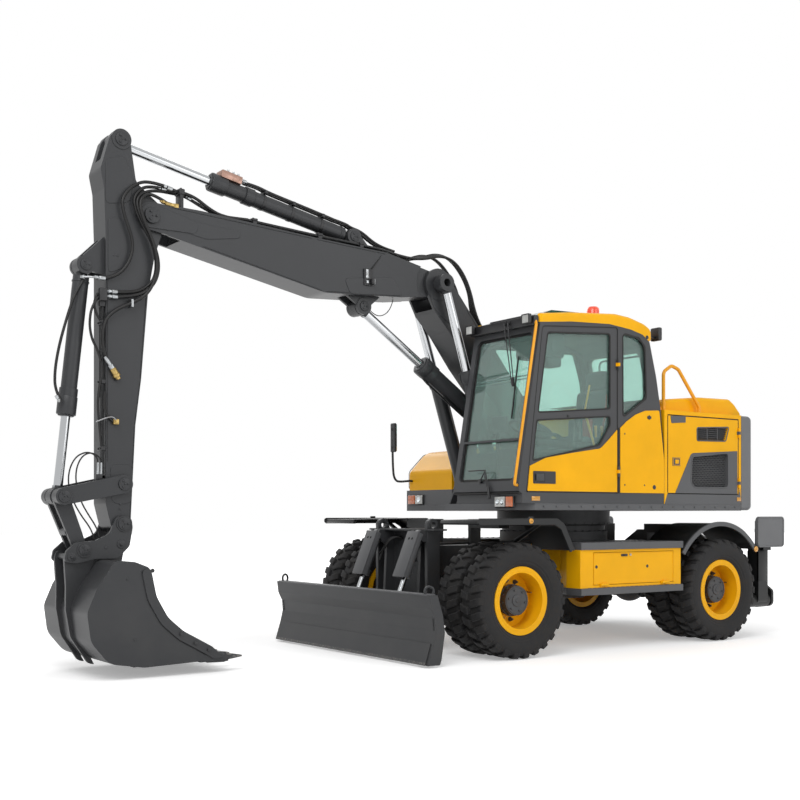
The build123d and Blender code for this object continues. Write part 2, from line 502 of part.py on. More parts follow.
def engine_bay():
    nodes = {}
    wall_t = 40
    x0, x1 = BAY_X
    house = block(x0, x1, -UPPER_HALF, UPPER_HALF, DECK_Z[1] + SEAT, HOUSE_TOP)
    house -= block(x0 + wall_t, x1 - wall_t, -UPPER_HALF - 10, UPPER_HALF + 10, SKIRT_TOP - 4, HOUSE_TOP - 40)
    house -= block(x0 + 120, -403, -900, 1050, HOUSE_TOP - 60, HOUSE_TOP + 10)
    rail = bent([(-352, 1165, HOUSE_TOP - 20), (-352, 1165, 2612), (-464, 1165, 2680), (-560, 1165, 2650),
                 (-860, 1165, 2300), (-860, 1165, HOUSE_TOP - 20)], [60, 60, 60, 60], 17)
    nodes["engine"] = engine()
    y0 = UPPER_HALF - 40
    ends = (x0 + wall_t + 5, x1 - wall_t - 5)
    door = block(*ends, y0, UPPER_HALF, SKIRT_TOP, HOUSE_TOP - 45)
    skin = [(-425, SKIRT_TOP + 5), (-654, 1840, 60), (ends[0] + 20, 1880), (ends[0] + 20, SKIRT_TOP + 5)]
    door += slab(skin, UPPER_HALF, UPPER_HALF + 5)
    for opening in GRILLES:
        door -= slab(opening, y0 - 10, UPPER_HALF + 10)
    for z in (1560, 2060):
        fixed, moving = hinge(Plane(origin=(x0 + wall_t + 2, UPPER_HALF + HINGE_RADIUS, z), x_dir=(1, 0, 0), z_dir=(0, 0, 1)))
        house += both(fixed)
        door += moving
    house += rail
    nodes["left_engine_door"] = door
    nodes["right_engine_door"] = mirror(door, about=Plane.XZ)
    seat = HOUSE_TOP + SEAT
    ledge = HOUSE_TOP + 40
    top = [(-1560, seat), (-1548, 2285, 40), (-1460, 2367, 60), (-1383, 2414, 80), (-930, 2408, 300), (-400, 2358, 60),
           (-400, ledge), (HOOD_HINGE - 3, ledge), (HOOD_HINGE - 3, seat)]
    lid = slab(top, -1000, 1120)
    lid = rounded(lid, 35, lambda c: c.Z > ledge + 1 and (c.Y < -999 or c.Y > 1119))
    hollow = [(-1490, HOUSE_TOP - 1), (-1430, 2330, 40), (-1370, 2368, 60), (-930, 2362, 300), (-440, 2316), (-440, HOUSE_TOP - 1)]
    lid -= slab(hollow, -940, 1060)
    for y in (-760, 880):
        house += block(HOOD_HINGE + 3, HOOD_HINGE + 57, y - 60, y + 60, HOUSE_TOP - 1, ledge)
        place = Plane(origin=(HOOD_HINGE, y, ledge + HINGE_RADIUS), x_dir=(-1, 0, 0), z_dir=(0, 1, 0))
        fixed, moving = hinge(place)
        house += fixed
        lid += moving
    nodes["engine_housing"] = house
    nodes["hood"] = lid
    return nodes


def engine():
    """Engine block with sump, head, fan shroud and radiator, on its mounts."""
    floor = SKIRT_TOP - 4 + SEAT
    body = block(-1080, -620, -260, 300, floor + 60, 1850) + block(-1020, -680, -200, 240, 1850, 1960)
    body += block(-1120, -580, -320, -260, floor, 1700) + block(-1120, -580, 300, 340, floor, 1700)
    body += bar((-850, 300, 1720), (-850, 470, 1720), 90) + bar((-850, -420, 1700), (-850, -260, 1700), 130)
    body += block(-1150, -560, 470, 560, floor, 2050) + block(-1100, -640, -520, -420, floor, 1900)
    return body


def right_cover():
    back = BAY_X[1] + 6
    body = block(back, 950, -UPPER_HALF, -460, DECK_Z[1] + SEAT, 1500)
    side = [(945, 1500), (945, 1690, 70), (730, 1905, 220), (back, 2010, 30), (back, 1500)]
    cover = slab(side, 8 - UPPER_HALF, -468)
    return {"right_cover": body + rounded(cover, 50, lambda c: c.Z > 1560 and c.Y < -UPPER_HALF + 9)}


# the cab in side view (x, z): seam between shell and roof, roof top, rear edge, and the openings in the left side
ROOF_SEAM = [(1290, 2925), (913, 2963), (450, 2984), (173, 2959), (17, 2925), (-75, 2864)]
ROOF_TOP = [(-118, 2880, 20), (-112, 2985, 60), (-22, 3032, 200), (173, 3077, 300), (354, 3091, 400), (913, 3050, 500), (1290, 3006, 30)]
CAB_BACK = [(-165, 2540, 300), (-225, 2239, 300), (CAB_REAR, 1750), (CAB_REAR, CAB_FLOOR + SEAT)]
DOOR_SIDE = [(1448, 1445), (1262, 2890, 40), (345, 2960, 30), (345, 1445)]
DOOR_UPPER = [(1205, 2850, 40), (429, 2905, 40), (429, 2205, 30), (1322, 2128, 30)]
DOOR_LOWER = [(1334, 2075, 30), (429, 2152, 30), (429, 2060, 30), (566, 1870, 60), (1384, 1705, 30)]
DOOR_PANEL = [(1438, 1452), (1411, 1668, 10), (1227, 1743, 150), (913, 1795, 200), (560, 1846, 80), (457, 1930, 60), (354, 2021), (354, 1452)]
QUARTER = [(288, 2925, 50), (60, 2895, 60), (-22, 2820, 60), (-42, 2330, 60), (285, 2125, 50)]
REAR_PANEL = [(316, SKIRT_TOP), (316, 2040), (230, 2107, 120), (115, 2174, 120), (-12, 2217, 120), (-200, 2228, 20), (CAB_REAR + 2, 1750), (CAB_REAR + 2, SKIRT_TOP)]
WINDSCREEN = ((CAB_Y[0] + 62, 1540, 50), (CAB_Y[0] + 62, 2850, 60), (CAB_Y[1] - 80, 2850, 60), (CAB_Y[1] - 80, 1540, 50))
SCREEN_BAR = (1893, 1912)    # seal between the upper and the lower windscreen
REAR_PANE = ((CAB_Y[0] + 110, 2330, 60), (CAB_Y[0] + 110, 2780, 60), (CAB_Y[1] - 110, 2780, 60), (CAB_Y[1] - 110, 2330, 60))
RIGHT_PANE = [(1320, 1800, 40), (1130, 2820, 60), (40, 2850, 120), (-60, 2560, 80), (-110, 2050, 60), (1250, 1800, 40)]
HATCH = [(1120, CAB_Y[0] + 130, 40), (1120, CAB_Y[1] - 130, 40), (640, CAB_Y[1] - 130, 40), (640, CAB_Y[0] + 130, 40)]
ROOF_GLASS = [(1288, 2927), (1272, 2996, 15), (1125, 3050, 60), (622, 3066), (622, 3060), (1123, 3044, 60), (1266, 2992, 15), (1282, 2927)]
ROOF_RAIL = 42               # roof beside the glass
GLASS = 6


def cab():
    nodes = {}
    y0, y1 = CAB_Y
    seam = [(x, z - SEAT) for x, z in ROOF_SEAM]
    shell = slab([(1500, CAB_FLOOR + SEAT), (1500, 1425), (1535, 1450), (1535, 1520), *seam, *CAB_BACK], y0, y1)
    inner = [(1475, 1430), (1475, 1520), (1232, 2860, 40), (913, 2900, 60), (450, 2925, 100), (173, 2900, 100), (-20, 2840, 60), (-100, 2540, 100),
             (-160, 2239, 100), (CAB_REAR + 60, 1750), (CAB_REAR + 60, 1430)]
    shell -= slab(inner, y0 + CAB_WALL, y1 - CAB_WALL)
    gap = 5
    door_hole = [(1448 + gap, 1445 - gap), (1262 + gap, 2890 + gap, 40), (345 - gap, 2960 + gap, 30), (345 - gap, 1445 - gap)]
    shell -= slab(door_hole, y1 - CAB_WALL - 10, y1 + 10)
    door = slab(DOOR_SIDE, y1 - CAB_WALL, y1 - 4)
    for opening in (DOOR_UPPER, DOOR_LOWER):
        door -= slab(opening, y1 - CAB_WALL - 10, y1 + 10)
    door += slab(DOOR_PANEL, y1 - 4, y1 + 3)
    screen = wall(WINDSCREEN, 1150, 1600)
    screen -= block(1150, 1600, y0, y1, *SCREEN_BAR)
    shell -= slab(QUARTER, y1 - CAB_WALL - 10, y1 + 10)
    shell -= slab(RIGHT_PANE, y0 - 10, y0 + CAB_WALL + 10)
    shell -= wall(REAR_PANE, CAB_REAR - 120, CAB_REAR + 260)
    shell -= screen
    roof = slab(ROOF_SEAM + ROOF_TOP, y0, y1)
    roof = rounded(roof, 38, lambda c: c.Z > 2995 and (c.Y < y0 + 1 or c.Y > y1 - 1))
    shell -= deck(HATCH, 2800, 3200)
    roof -= block(620, 1400, y0 + ROOF_RAIL, y1 - ROOF_RAIL, 2800, 3200)
    for z in (1640, 2620):
        fixed, moving = hinge(Plane(origin=(342, y1 + HINGE_RADIUS, z), x_dir=(1, 0, 0), z_dir=(0, 0, 1)))
        shell += fixed
        door += moving
    nodes["cab_shell"] = shell
    nodes["cab_door"] = door
    cladding = slab(REAR_PANEL, y1 + SEAT, y1 + 7)
    nodes["cab_panels"] = Compound(children=[*roof.solids(), *cladding.solids()])
    slope = (ROOF_SEAM[0][0] - 1535) / (ROOF_SEAM[0][1] - 1520)
    sheet = slab([(1500, 1520), (1500 + GLASS, 1520), (1500 + GLASS + slope * 1400, 2920), (1500 + slope * 1400, 2920)], y0, y1)
    front = sheet & extrude(Plane(origin=(1150, 0, 0), x_dir=(0, 1, 0), z_dir=(1, 0, 0)) * inset(WINDSCREEN), amount=450, dir=(1, 0, 0))
    front -= block(1150, 1600, y0, y1, SCREEN_BAR[0] - SEAT, SCREEN_BAR[1] + SEAT)
    back_at = CAB_REAR + 75
    back = sheet_at_rear(back_at) & extrude(Plane(origin=(CAB_REAR - 120, 0, 0), x_dir=(0, 1, 0), z_dir=(1, 0, 0)) * inset(REAR_PANE), amount=380, dir=(1, 0, 0))
    left = pane(QUARTER, y1 - 30, y1 - 30 + GLASS)
    right = pane(RIGHT_PANE, y0 + 24, y0 + 24 + GLASS)
    lid = slab(ROOF_GLASS, y0 + ROOF_RAIL + SEAT, y1 - ROOF_RAIL - SEAT)
    nodes["cab_glass"] = Compound(children=[*front.solids(), *back.solids(), *left.solids(), *right.solids(), *lid.solids()])
    nodes["door_glass"] = Compound(children=[*pane(DOOR_UPPER, y1 - 30, y1 - 30 + GLASS).solids(),
                                             *pane(DOOR_LOWER, y1 - 30, y1 - 30 + GLASS).solids()])
    return nodes


def sheet_at_rear(x):
    """Leaning sheet along the cab's rear edge."""
    (x0, z0, _), (x1, z1, _) = CAB_BACK[1], CAB_BACK[0]
    lean = (x1 - x0) / (z1 - z0)
    low, high = (x0 + 25 + lean * (2250 - z0), 2250), (x0 + 25 + lean * (2880 - z0), 2880)
    return slab([low, (low[0] + GLASS, low[1]), (high[0] + GLASS, high[1]), high], *CAB_Y)


def cab_fittings():
    """Grab bar, lamps, beacon and mirrors, each on its bracket."""
    y0, y1 = CAB_Y
    seam_x, seam_z = ROOF_SEAM[0]
    beam = block(seam_x + 6, seam_x + 60, y0 + 10, y1 - 10, 2895, 2985)
    for y in (y0 + 50, y1 - 75):
        beam += block(seam_x + 60, seam_x + 75, y - 20, y + 20, 2925, 2965)
        beam += block(seam_x + 70, seam_x + 112, y - 52, y + 52, 2905, 2995)
    tail = block(-240, -116, 1130, 1160, 2920, 2950) + block(-300, -235, 1085, 1205, 2900, 3030)
    grab = bent([(1325, 1225, 2940), (1350, 1254, 2870), (1585, 1254, 1560), (1585, 1225, 1500), (1535 + SEAT, 1225, 1500)], [30, 15, 15], 13)
    lamp_base = (212, 790, 3086.1)
    beacon = bar(lamp_base, (212, 790, 3110), 75) + bar((212, 790, 3110), (212, 790, 3235), 62)
    right_arm = bent([(945 + SEAT, -1150, 1600), (985, -1150, 1600), (1060, -1225, 1590), (1145, -1230, 1700), (1145, -1230, 1910)],
                     [25, 40, 60], 12)
    right_head = rounded(block(1122, 1168, -1268, -1178, 1900, 2210), 18, lambda c: True)
    lights = [block(1500 + SEAT, 1528, 905, 1050, 1312, 1405), block(950 + SEAT, 974, -1195, -945, 1355, 1448)]
    pieces = [*(beam + grab).solids(), *tail.solids(), *beacon.solids(),
              *(right_arm + right_head).solids(), *lights]
    return {"cab_fittings": Compound(children=pieces)}


def interior():
    y = (CAB_Y[0] + CAB_Y[1]) / 2
    floor = 1430 + SEAT
    seat = block(250, 700, y - 180, y + 180, floor, 1700)
    seat += block(200, 720, y - 250, y + 250, 1700, 1850)
    seat += slab([(200, 1850), (130, 2400, 40), (250, 2400, 40), (330, 1850)], y - 240, y + 240)
    seat += slab([(140, 2400), (130, 2600, 40), (220, 2600, 40), (240, 2400)], y - 130, y + 130)
    consoles = both_about(block(250, 760, y + 262, y + 350, floor, 1960), y)
    column = bar((1180, y, floor), (1000, y, 2020), 45) - block(1050, 1300, y - 100, y + 100, floor - 60, floor)
    wheel = Plane(origin=(1000, y, 2030), z_dir=(-0.4, 0, 1)) * Torus(190, 16)
    spoke = Plane(origin=(1000, y, 2030), z_dir=(-0.4, 0, 1)) * Box(380, 30, 14)
    monitor = block(1120, 1160, CAB_Y[0] + 80, CAB_Y[0] + 290, 2000, 2160) + bar((1140, CAB_Y[0] + 160, floor), (1140, CAB_Y[0] + 160, 2010), 20)
    pieces = [seat, *consoles, column + wheel + spoke, monitor]
    return {"operator_station": Compound(children=pieces)}


def both_about(shape, y):
    return [shape, mirror(shape, about=Plane.XZ.offset(-y))]


# ---------------------------------------------------------------- boom, arm and bucket
def lower_boom():
    side = [(*BOOM_FOOT[:1], BOOM_FOOT[1] - 145), (430, 1760, 80), (735, 2125, 200), (1222, 2661, 200), (1454, 2958, 100),
            (1620, 3130, 100), (1700, 3280), (1640, 3520, 100), (1440, 3440, 120), (954, 2870, 300), (500, 2330, 200), (130, 1900, 60)]
    fork = BOOM_HALF - EAR
    body = slab(side, -BOOM_HALF, BOOM_HALF)
    body += cross(KNEE, 150, -BOOM_HALF - 8, BOOM_HALF + 8) + cross(BOOM_FOOT, 145, -140, 140)
    body -= cross(KNEE, 235, -fork, fork)
    body -= both(slab([(-100, 1500), (-100, 1990), (480, 1990), (480, 1500)], 140, 260))
    body -= cross(BOOM_FOOT, 55 + RUN_FIT, -150, 150)
    body += cross(KNEE, 60, -180, 180)
    base = KNEE_CYL_BASE
    ear = slab([(620, 1990), (base[0] - 10, base[1] - 74), (base[0] + 20, base[1] + 70), (base[0] + 10, base[1] + 132), (740, 2190)], 57, 85)
    body += both(ear + cross(base, 76, 57, 85))
    body += cross(base, 78 * PIN_RATIO, -85, 85)
    return {"lower_boom": body}


def upper_boom():
    side = [(1583, 3494), (2163, 3613, 200), (2922, 3648), (4005, 3717, 60), (4300, 3722, 60), (4300, 3480, 40), (4003, 3420, 100),
            (2814, 3180, 300), (1994, 3228, 200), (1583, 3284)]
    boss = BOOM_HALF - EAR - FORK_GAP
    body = slab(side, -BOOM_HALF, BOOM_HALF)
    body -= both(cross(KNEE, 250, boss, 200))
    body += cross(KNEE, 105, -boss, boss)
    body += link((4150, 3585), 120, ARM_PIVOT, 112, -BOOM_HALF, BOOM_HALF)
    body -= cross(ARM_PIVOT, 300, -ARM_HALF - FORK_GAP, ARM_HALF + FORK_GAP)
    body += cross(ARM_PIVOT, 52, -180, 180)
    body -= cross(KNEE, 60 + RUN_FIT, -150, 150)
    eye = KNEE_CYL_EYE
    body -= block(eye[0] - 120, eye[0] + 200, -57, 57, eye[1], eye[1] + 155)
    body += both(slab([(2180, 3230), (eye[0] - 70, eye[1] + 10), (eye[0] + 70, eye[1] + 10), (2560, 3210)], 57, 85) + cross(eye, 76, 57, 92))
    base = ARM_CYL_BASE
    body += both(slab([(2250, 3600), (base[0] - 70, base[1] + 10), (base[0] + 40, base[1] - 30), (2540, 3610)], 53, 80)
                 + cross(base, 72, 53, 80))
    body += cross(base, 76 * PIN_RATIO, -80, 80)
    return {"upper_boom": body}


def arm():
    side = [(4683, 4270, 60), (4755, 4190, 60), (4830, 3930, 80), (4800, 3780, 80), (4788, 3400, 60), (4788, 1330, 60), (4735, 1120, 60),
            (4590, 1100, 60), (4546, 1950, 60), (4498, 2317, 60), (4440, 3004, 100), (4385, 3300, 100), (4300, 3560, 80), (4320, 3700, 80),
            (4540, 3867, 80), (4590, 4200, 60)]
    body = slab(side, -ARM_HALF, ARM_HALF)
    body -= slab([(4400, 4020), (4400, 4400), (4950, 4400), (4950, 4020)], -56, 56)
    body += both(cross(ARM_CYL_EYE, 80, 56, ARM_HALF + 6))
    c = BUCKET_CYL_BASE
    body += both(slab([(4780, 3420), (c[0] + 30, c[1] + 60), (c[0] + 30, c[1] - 40), (4780, 3120)], 53, 85) + cross(c, 72, 53, 85))
    body += cross(c, 70 * PIN_RATIO, -85, 85)
    body -= cross(ARM_PIVOT, 52 + RUN_FIT, -150, 150)
    body -= cross(BUCKET_PIVOT, 42 + RUN_FIT, -ARM_HALF - 5, ARM_HALF + 5)
    body += cross(ROCKER_PIVOT, 40, -ROCKER_Y[1] - 4, ROCKER_Y[1] + 4)
    return {"arm": body}


def bucket_linkage():
    rocker = link(ROCKER_PIVOT, 72, LINK_PIN, 66, *ROCKER_Y) + cross(LINK_PIN, 66, PUSH_Y[1] + LANE_GAP, ROCKER_Y[1] + 8)
    rocker -= cross(ROCKER_PIVOT, 40 + RUN_FIT, 100, 200)
    rockers = both(rocker)
    push = both(link(LINK_PIN, 64, LINK_FOOT, 52, *PUSH_Y))
    mid = ((LINK_PIN[0] + LINK_FOOT[0]) / 2, (LINK_PIN[1] + LINK_FOOT[1]) / 2)
    push += bar((mid[0], -60, mid[1] - 60), (mid[0], 60, mid[1] - 60), 40)
    push -= cross(LINK_FOOT, 36 + RUN_FIT, -200, 200)
    return {"side_links": Compound(children=rockers.solids()), "push_link": push}


def bucket():
    nodes = {}
    half = 500
    b, g = BUCKET_PIVOT, LINK_FOOT
    near, far = BUCKET_BOLTS
    inside = ARM_HALF + FORK_GAP
    plate = slab([(b[0] - 72, b[1] - 30, 60), (b[0] - 62, b[1] + 58, 50), (b[0] + 62, b[1] + 58, 50), (4766, 1098, 90),
                  (4884, 1046, 90), (g[0] - 30, g[1] + 64, 40), (g[0] + 62, g[1] + 62, 40), (far[0] + 42, far[1] + 44, 30),
                  (far[0] + 58, far[1] - 38, 30), (far[0] - 40, far[1] - 52, 30), (4880, 905, 80), (4700, 905, 60),
                  (4605, 1000, 60)], inside, ARM_HALF + 30)
    plate += cross(b, 62, inside, ARM_HALF + 38) + cross(g, 58, inside, ARM_HALF + 38)
    coupler = both(plate)
    for bolt in BUCKET_BOLTS:
        coupler += cross(bolt, BOLT_RADIUS, -inside - 6, inside + 6)
    coupler += cross(b, 42, -inside - 6, inside + 6) + cross(g, 36, -inside - 6, inside + 6)
    nodes["quick_coupler"] = coupler
    outer = [(4699, 889), (4857, 900, 60), (4997, 690, 80), (5070, 520, 120), (5040, 300, 150), (4900, 130, 160), (4623, 85, 160),
             (4150, 100), (3958, 118), (4066, 212), (4310, 347, 200), (4436, 457, 200), (4530, 622, 200), (4577, 842, 60)]
    shell_in = [(4699, 860), (4840, 865, 50), (4960, 680, 80), (5030, 515, 110), (5005, 315, 130), (4885, 160, 140), (4623, 118, 150),
                (4150, 128), (3800, 128), (3800, 900), (4600, 900)]
    body = slab(outer, -half, half) - slab(shell_in, -half + 24, half - 24)
    ear = slab([(near[0] - 42, near[1] - 10, 30), (near[0] - 22, near[1] + 40, 30), (near[0] + 26, near[1] + 40, 30), (4748, 970, 60),
                (4868, 905, 90), (5008, 925, 50), (far[0] - 22, far[1] + 44, 30), (far[0] + 28, far[1] + 42, 30), (far[0] + 46, far[1] - 10, 40),
                (5100, 700, 100), (5102, 520, 100), (5066, 310, 150), (4925, 98, 60), (4880, 92), (4985, 300, 150), (5010, 520, 120),
                (4930, 690, 80), (4840, 850, 60), (4660, 862)], 96, 126)
    ear -= slab(shell_in, 90, 130)
    for bolt in BUCKET_BOLTS:
        ear -= cross(bolt, BOLT_RADIUS + RUN_FIT, 90, 130)
    cutter = slab([(3968, 122), (4066, 212), (4310, 347, 200), (4436, 457, 200), (4530, 622, 200), (4577, 842, 30), (4650, 826, 40),
                   (4600, 595, 200), (4492, 410, 200), (4352, 286, 200), (4102, 146, 60), (4050, 112)], half - 1, half + 12)
    body += both(ear + cutter)
    lip = [(4160, 90), (4160, 112), (3930, 138), (3900, 122), (3965, 96)]
    body += slab(lip, -half, half)
    for y in (-340, 0, 340):
        body += slab([(4660, 76), (4660, 92), (4150, 106), (4150, 88)], y - 35, y + 35)
    for y in (-445, -222, 0, 222, 445):
        body += slab([(4100, 84), (4085, 130), (4030, 166, 20), (3940, 160, 10), (3915, 88), (3960, 80)], y - 46, y + 46)
        root = Plane(origin=(3955, y, 122), x_dir=(0, 1, 0), z_dir=(-1, 0, 0)) * Rectangle(78, 62)
        tip = Plane(origin=(3785, y, 117), x_dir=(0, 1, 0), z_dir=(-1, 0, 0)) * Rectangle(50, 12)
        body += loft([root, tip])
    nodes["bucket"] = body
    return nodes


def boom_cylinders():
    nodes = {}
    rows = (("lift", LIFT_BASE, KNEE, LIFT_LANE), ("knee", KNEE_CYL_BASE, KNEE_CYL_EYE, 0), ("arm", ARM_CYL_BASE, ARM_CYL_EYE, 0),
            ("bucket", BUCKET_CYL_BASE, LINK_PIN, 0), ("blade", BLADE_CYL_BASE, BLADE_CYL_EYE, BLADE_LANE))
    for name, base, eye, lane in rows:
        barrel, rod = cylinder_pair(base, eye, CYLINDERS[name])
        if name == "blade":
            barrel += block(40, 352, 52, 62, -62, 62) + block(100, 330, 38, 52, -20, 20)
        barrel, rod = in_side_view(barrel, base, eye, lane), in_side_view(rod, base, eye, lane)
        if lane:
            barrel = Compound(children=both(barrel).solids())
            rod = Compound(children=both(rod).solids())
        nodes[f"{name}_barrel{'s' if lane else ''}"] = barrel
        nodes[f"{name}_rod{'s' if lane else ''}"] = rod
    return nodes


# ---------------------------------------------------------------- the whole machine
GROUPS = (wheels, axles, chassis, fenders, blade_bracket, blade, outriggers, platform, counterweight, engine_bay,
          right_cover, cab, cab_fittings, interior, lower_boom, upper_boom, arm, bucket_linkage, bucket, boom_cylinders)


def build():
    nodes = {}
    for group in GROUPS:
        nodes.update(group())
    return nodes


def origin_of(nodes):
    """Bottom centre of the whole machine."""
    boxes = [shape.bounding_box() for shape in nodes.values()]
    lo = [min(b.min.X for b in boxes), min(b.min.Y for b in boxes), min(b.min.Z for b in boxes)]
    hi = [max(b.max.X for b in boxes), max(b.max.Y for b in boxes), max(b.max.Z for b in boxes)]
    return ((lo[0] + hi[0]) / 2, (lo[1] + hi[1]) / 2, lo[2])


def main():
    os.makedirs("parts", exist_ok=True)
    nodes = build()
    origin = origin_of(nodes)
    print("origin in the machine frame:", [round(v, 3) for v in origin])
    move = Pos(-origin[0], -origin[1], -origin[2])
    for name, shape in nodes.items():
        export_step(move * shape, f"parts/{name}.step")
    print(len(nodes), "nodes")


if __name__ == "__main__":
    main()
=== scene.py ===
import json
import math

import bmesh
import bpy
from mathutils import Matrix, Vector


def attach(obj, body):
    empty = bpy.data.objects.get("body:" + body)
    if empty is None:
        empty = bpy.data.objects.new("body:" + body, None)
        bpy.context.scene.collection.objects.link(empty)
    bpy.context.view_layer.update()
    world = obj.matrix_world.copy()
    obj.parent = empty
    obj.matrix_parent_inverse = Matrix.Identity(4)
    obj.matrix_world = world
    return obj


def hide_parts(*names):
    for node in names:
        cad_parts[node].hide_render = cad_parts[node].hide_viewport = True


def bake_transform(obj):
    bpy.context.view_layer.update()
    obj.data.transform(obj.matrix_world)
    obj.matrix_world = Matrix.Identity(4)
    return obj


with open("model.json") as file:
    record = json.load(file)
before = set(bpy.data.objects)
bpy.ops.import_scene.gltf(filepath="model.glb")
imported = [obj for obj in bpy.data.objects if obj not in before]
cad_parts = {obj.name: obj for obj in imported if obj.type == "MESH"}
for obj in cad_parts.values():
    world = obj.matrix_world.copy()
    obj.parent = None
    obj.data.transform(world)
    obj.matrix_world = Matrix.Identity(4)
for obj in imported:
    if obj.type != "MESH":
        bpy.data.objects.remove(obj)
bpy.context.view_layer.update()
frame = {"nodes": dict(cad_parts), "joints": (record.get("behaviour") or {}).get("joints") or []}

bl_info = {
    "name": "Wheeled excavator",
    "version": (1, 0, 0),
    "blender": (4, 5, 0),
    "location": "View3D > Sidebar > Excavator",
    "description": "Finishes, trim, tyres, hoses and lamps for a wheeled excavator",
    "category": "Add Mesh",
}

MM = 0.001
SWING = next(j for j in frame["joints"] if j["name"] == "swing")["pos_m"]
ORIGIN = Vector((SWING[0], SWING[1], 0.0))
TURN = 2 * math.pi
X, Y, Z = Vector((1, 0, 0)), Vector((0, 1, 0)), Vector((0, 0, 1))

# Millimetres from the swing axis, X forward, Y to the left, Z up from the ground.
FRONT_AXLE = (1500, 0, 503)
REAR_AXLE = (-1100, 0, 503)
TYRE_Y = (1131, 811)
HUB_FACE = 1176
ARM_PIVOT = (4425, 3613)
KNEE = (1583, 3389)
DOOR_UPPER = [(1205, 2850), (429, 2905), (429, 2205), (1322, 2128)]
DOOR_LOWER = [(1334, 2075), (429, 2152), (429, 2060), (566, 1870), (1384, 1705)]
DOOR_EDGE = [(1448, 1445), (1262, 2890), (345, 2960), (345, 1445)]
QUARTER = [(288, 2925), (60, 2895), (-22, 2820), (-42, 2330), (285, 2125)]
RIGHT_PANE = [(1320, 1800), (1130, 2820), (40, 2850), (-60, 2560), (-110, 2050), (1250, 1800)]
LOWER_GRILLE = [(-669, 1802), (-1184, 1850), (-1184, 1518), (-700, 1511), (-650, 1560)]
UPPER_GRILLE = [(-741, 2085), (-1199, 2108), (-1154, 1978), (-741, 1969)]
GLASS_LEAN = -0.1744         # windscreen, x over z
GLASS_FOOT = (1506, 1520)    # outer face of the windscreen at its lower edge (x, z)


# ---------------------------------------------------------------- colours and nodes
def linear(code):
    """sRGB hex to linear colour."""
    parts = [int(code[i:i + 2], 16) / 255 for i in (1, 3, 5)]
    return tuple(c / 12.92 if c <= 0.04045 else ((c + 0.055) / 1.055) ** 2.4 for c in parts)


def rgba(colour, factor=1.0):
    return (*(min(1.0, c * factor) for c in colour[:3]), 1.0)


def add(tree, kind, feeds=None, **settings):
    """Adds a node, sets its settings, and links or fills its sockets."""
    made = tree.nodes.new(kind)
    for key, value in settings.items():
        setattr(made, key, value)
    for socket, value in (feeds or {}).items():
        if isinstance(value, bpy.types.NodeSocket):
            tree.links.new(value, made.inputs[socket])
        else:
            made.inputs[socket].default_value = value
    return made


def blank(name):
    """New node material with its output and surface shader."""
    material = bpy.data.materials.new(name)
    material.use_nodes = True
    tree = material.node_tree
    tree.nodes.clear()
    shader = add(tree, "ShaderNodeBsdfPrincipled")
    add(tree, "ShaderNodeOutputMaterial", {"Surface": shader.outputs["BSDF"]})
    place = add(tree, "ShaderNodeTexCoord").outputs["Object"]
    return material, tree, shader, place


def noise(tree, place, size_mm, detail=3.0, rough=0.55):
    """Cloudy pattern whose blotches are about size_mm across."""
    scale = 1 / (size_mm * MM)
    return add(tree, "ShaderNodeTexNoise", {"Vector": place, "Scale": scale, "Detail": detail, "Roughness": rough})


def spread(tree, value, low, high, out_low, out_high):
    """Maps a pattern's range on to another one."""
    feeds = {"Value": value, "From Min": low, "From Max": high, "To Min": out_low, "To Max": out_high}
    return add(tree, "ShaderNodeMapRange", feeds).outputs["Result"]


def two_tone(tree, factor, first, second):
    return add(tree, "ShaderNodeMix", {0: factor, 6: first, 7: second}, data_type="RGBA").outputs[2]


def upward(tree):
    """How much a surface faces up, from 0 to 1."""
    normal = add(tree, "ShaderNodeNewGeometry").outputs["Normal"]
    up = add(tree, "ShaderNodeSeparateXYZ", {"Vector": normal}).outputs["Z"]
    return spread(tree, up, 0.35, 0.95, 0.0, 1.0)


def near_ground(tree, place, low_mm, high_mm):
    """1 at low_mm off the ground, fading to 0 at high_mm."""
    height = add(tree, "ShaderNodeSeparateXYZ", {"Vector": place}).outputs["Z"]
    return spread(tree, height, low_mm * MM, high_mm * MM, 1.0, 0.0)


def product(tree, a, b):
    return add(tree, "ShaderNodeMath", {0: a, 1: b}, operation="MULTIPLY").outputs["Value"]


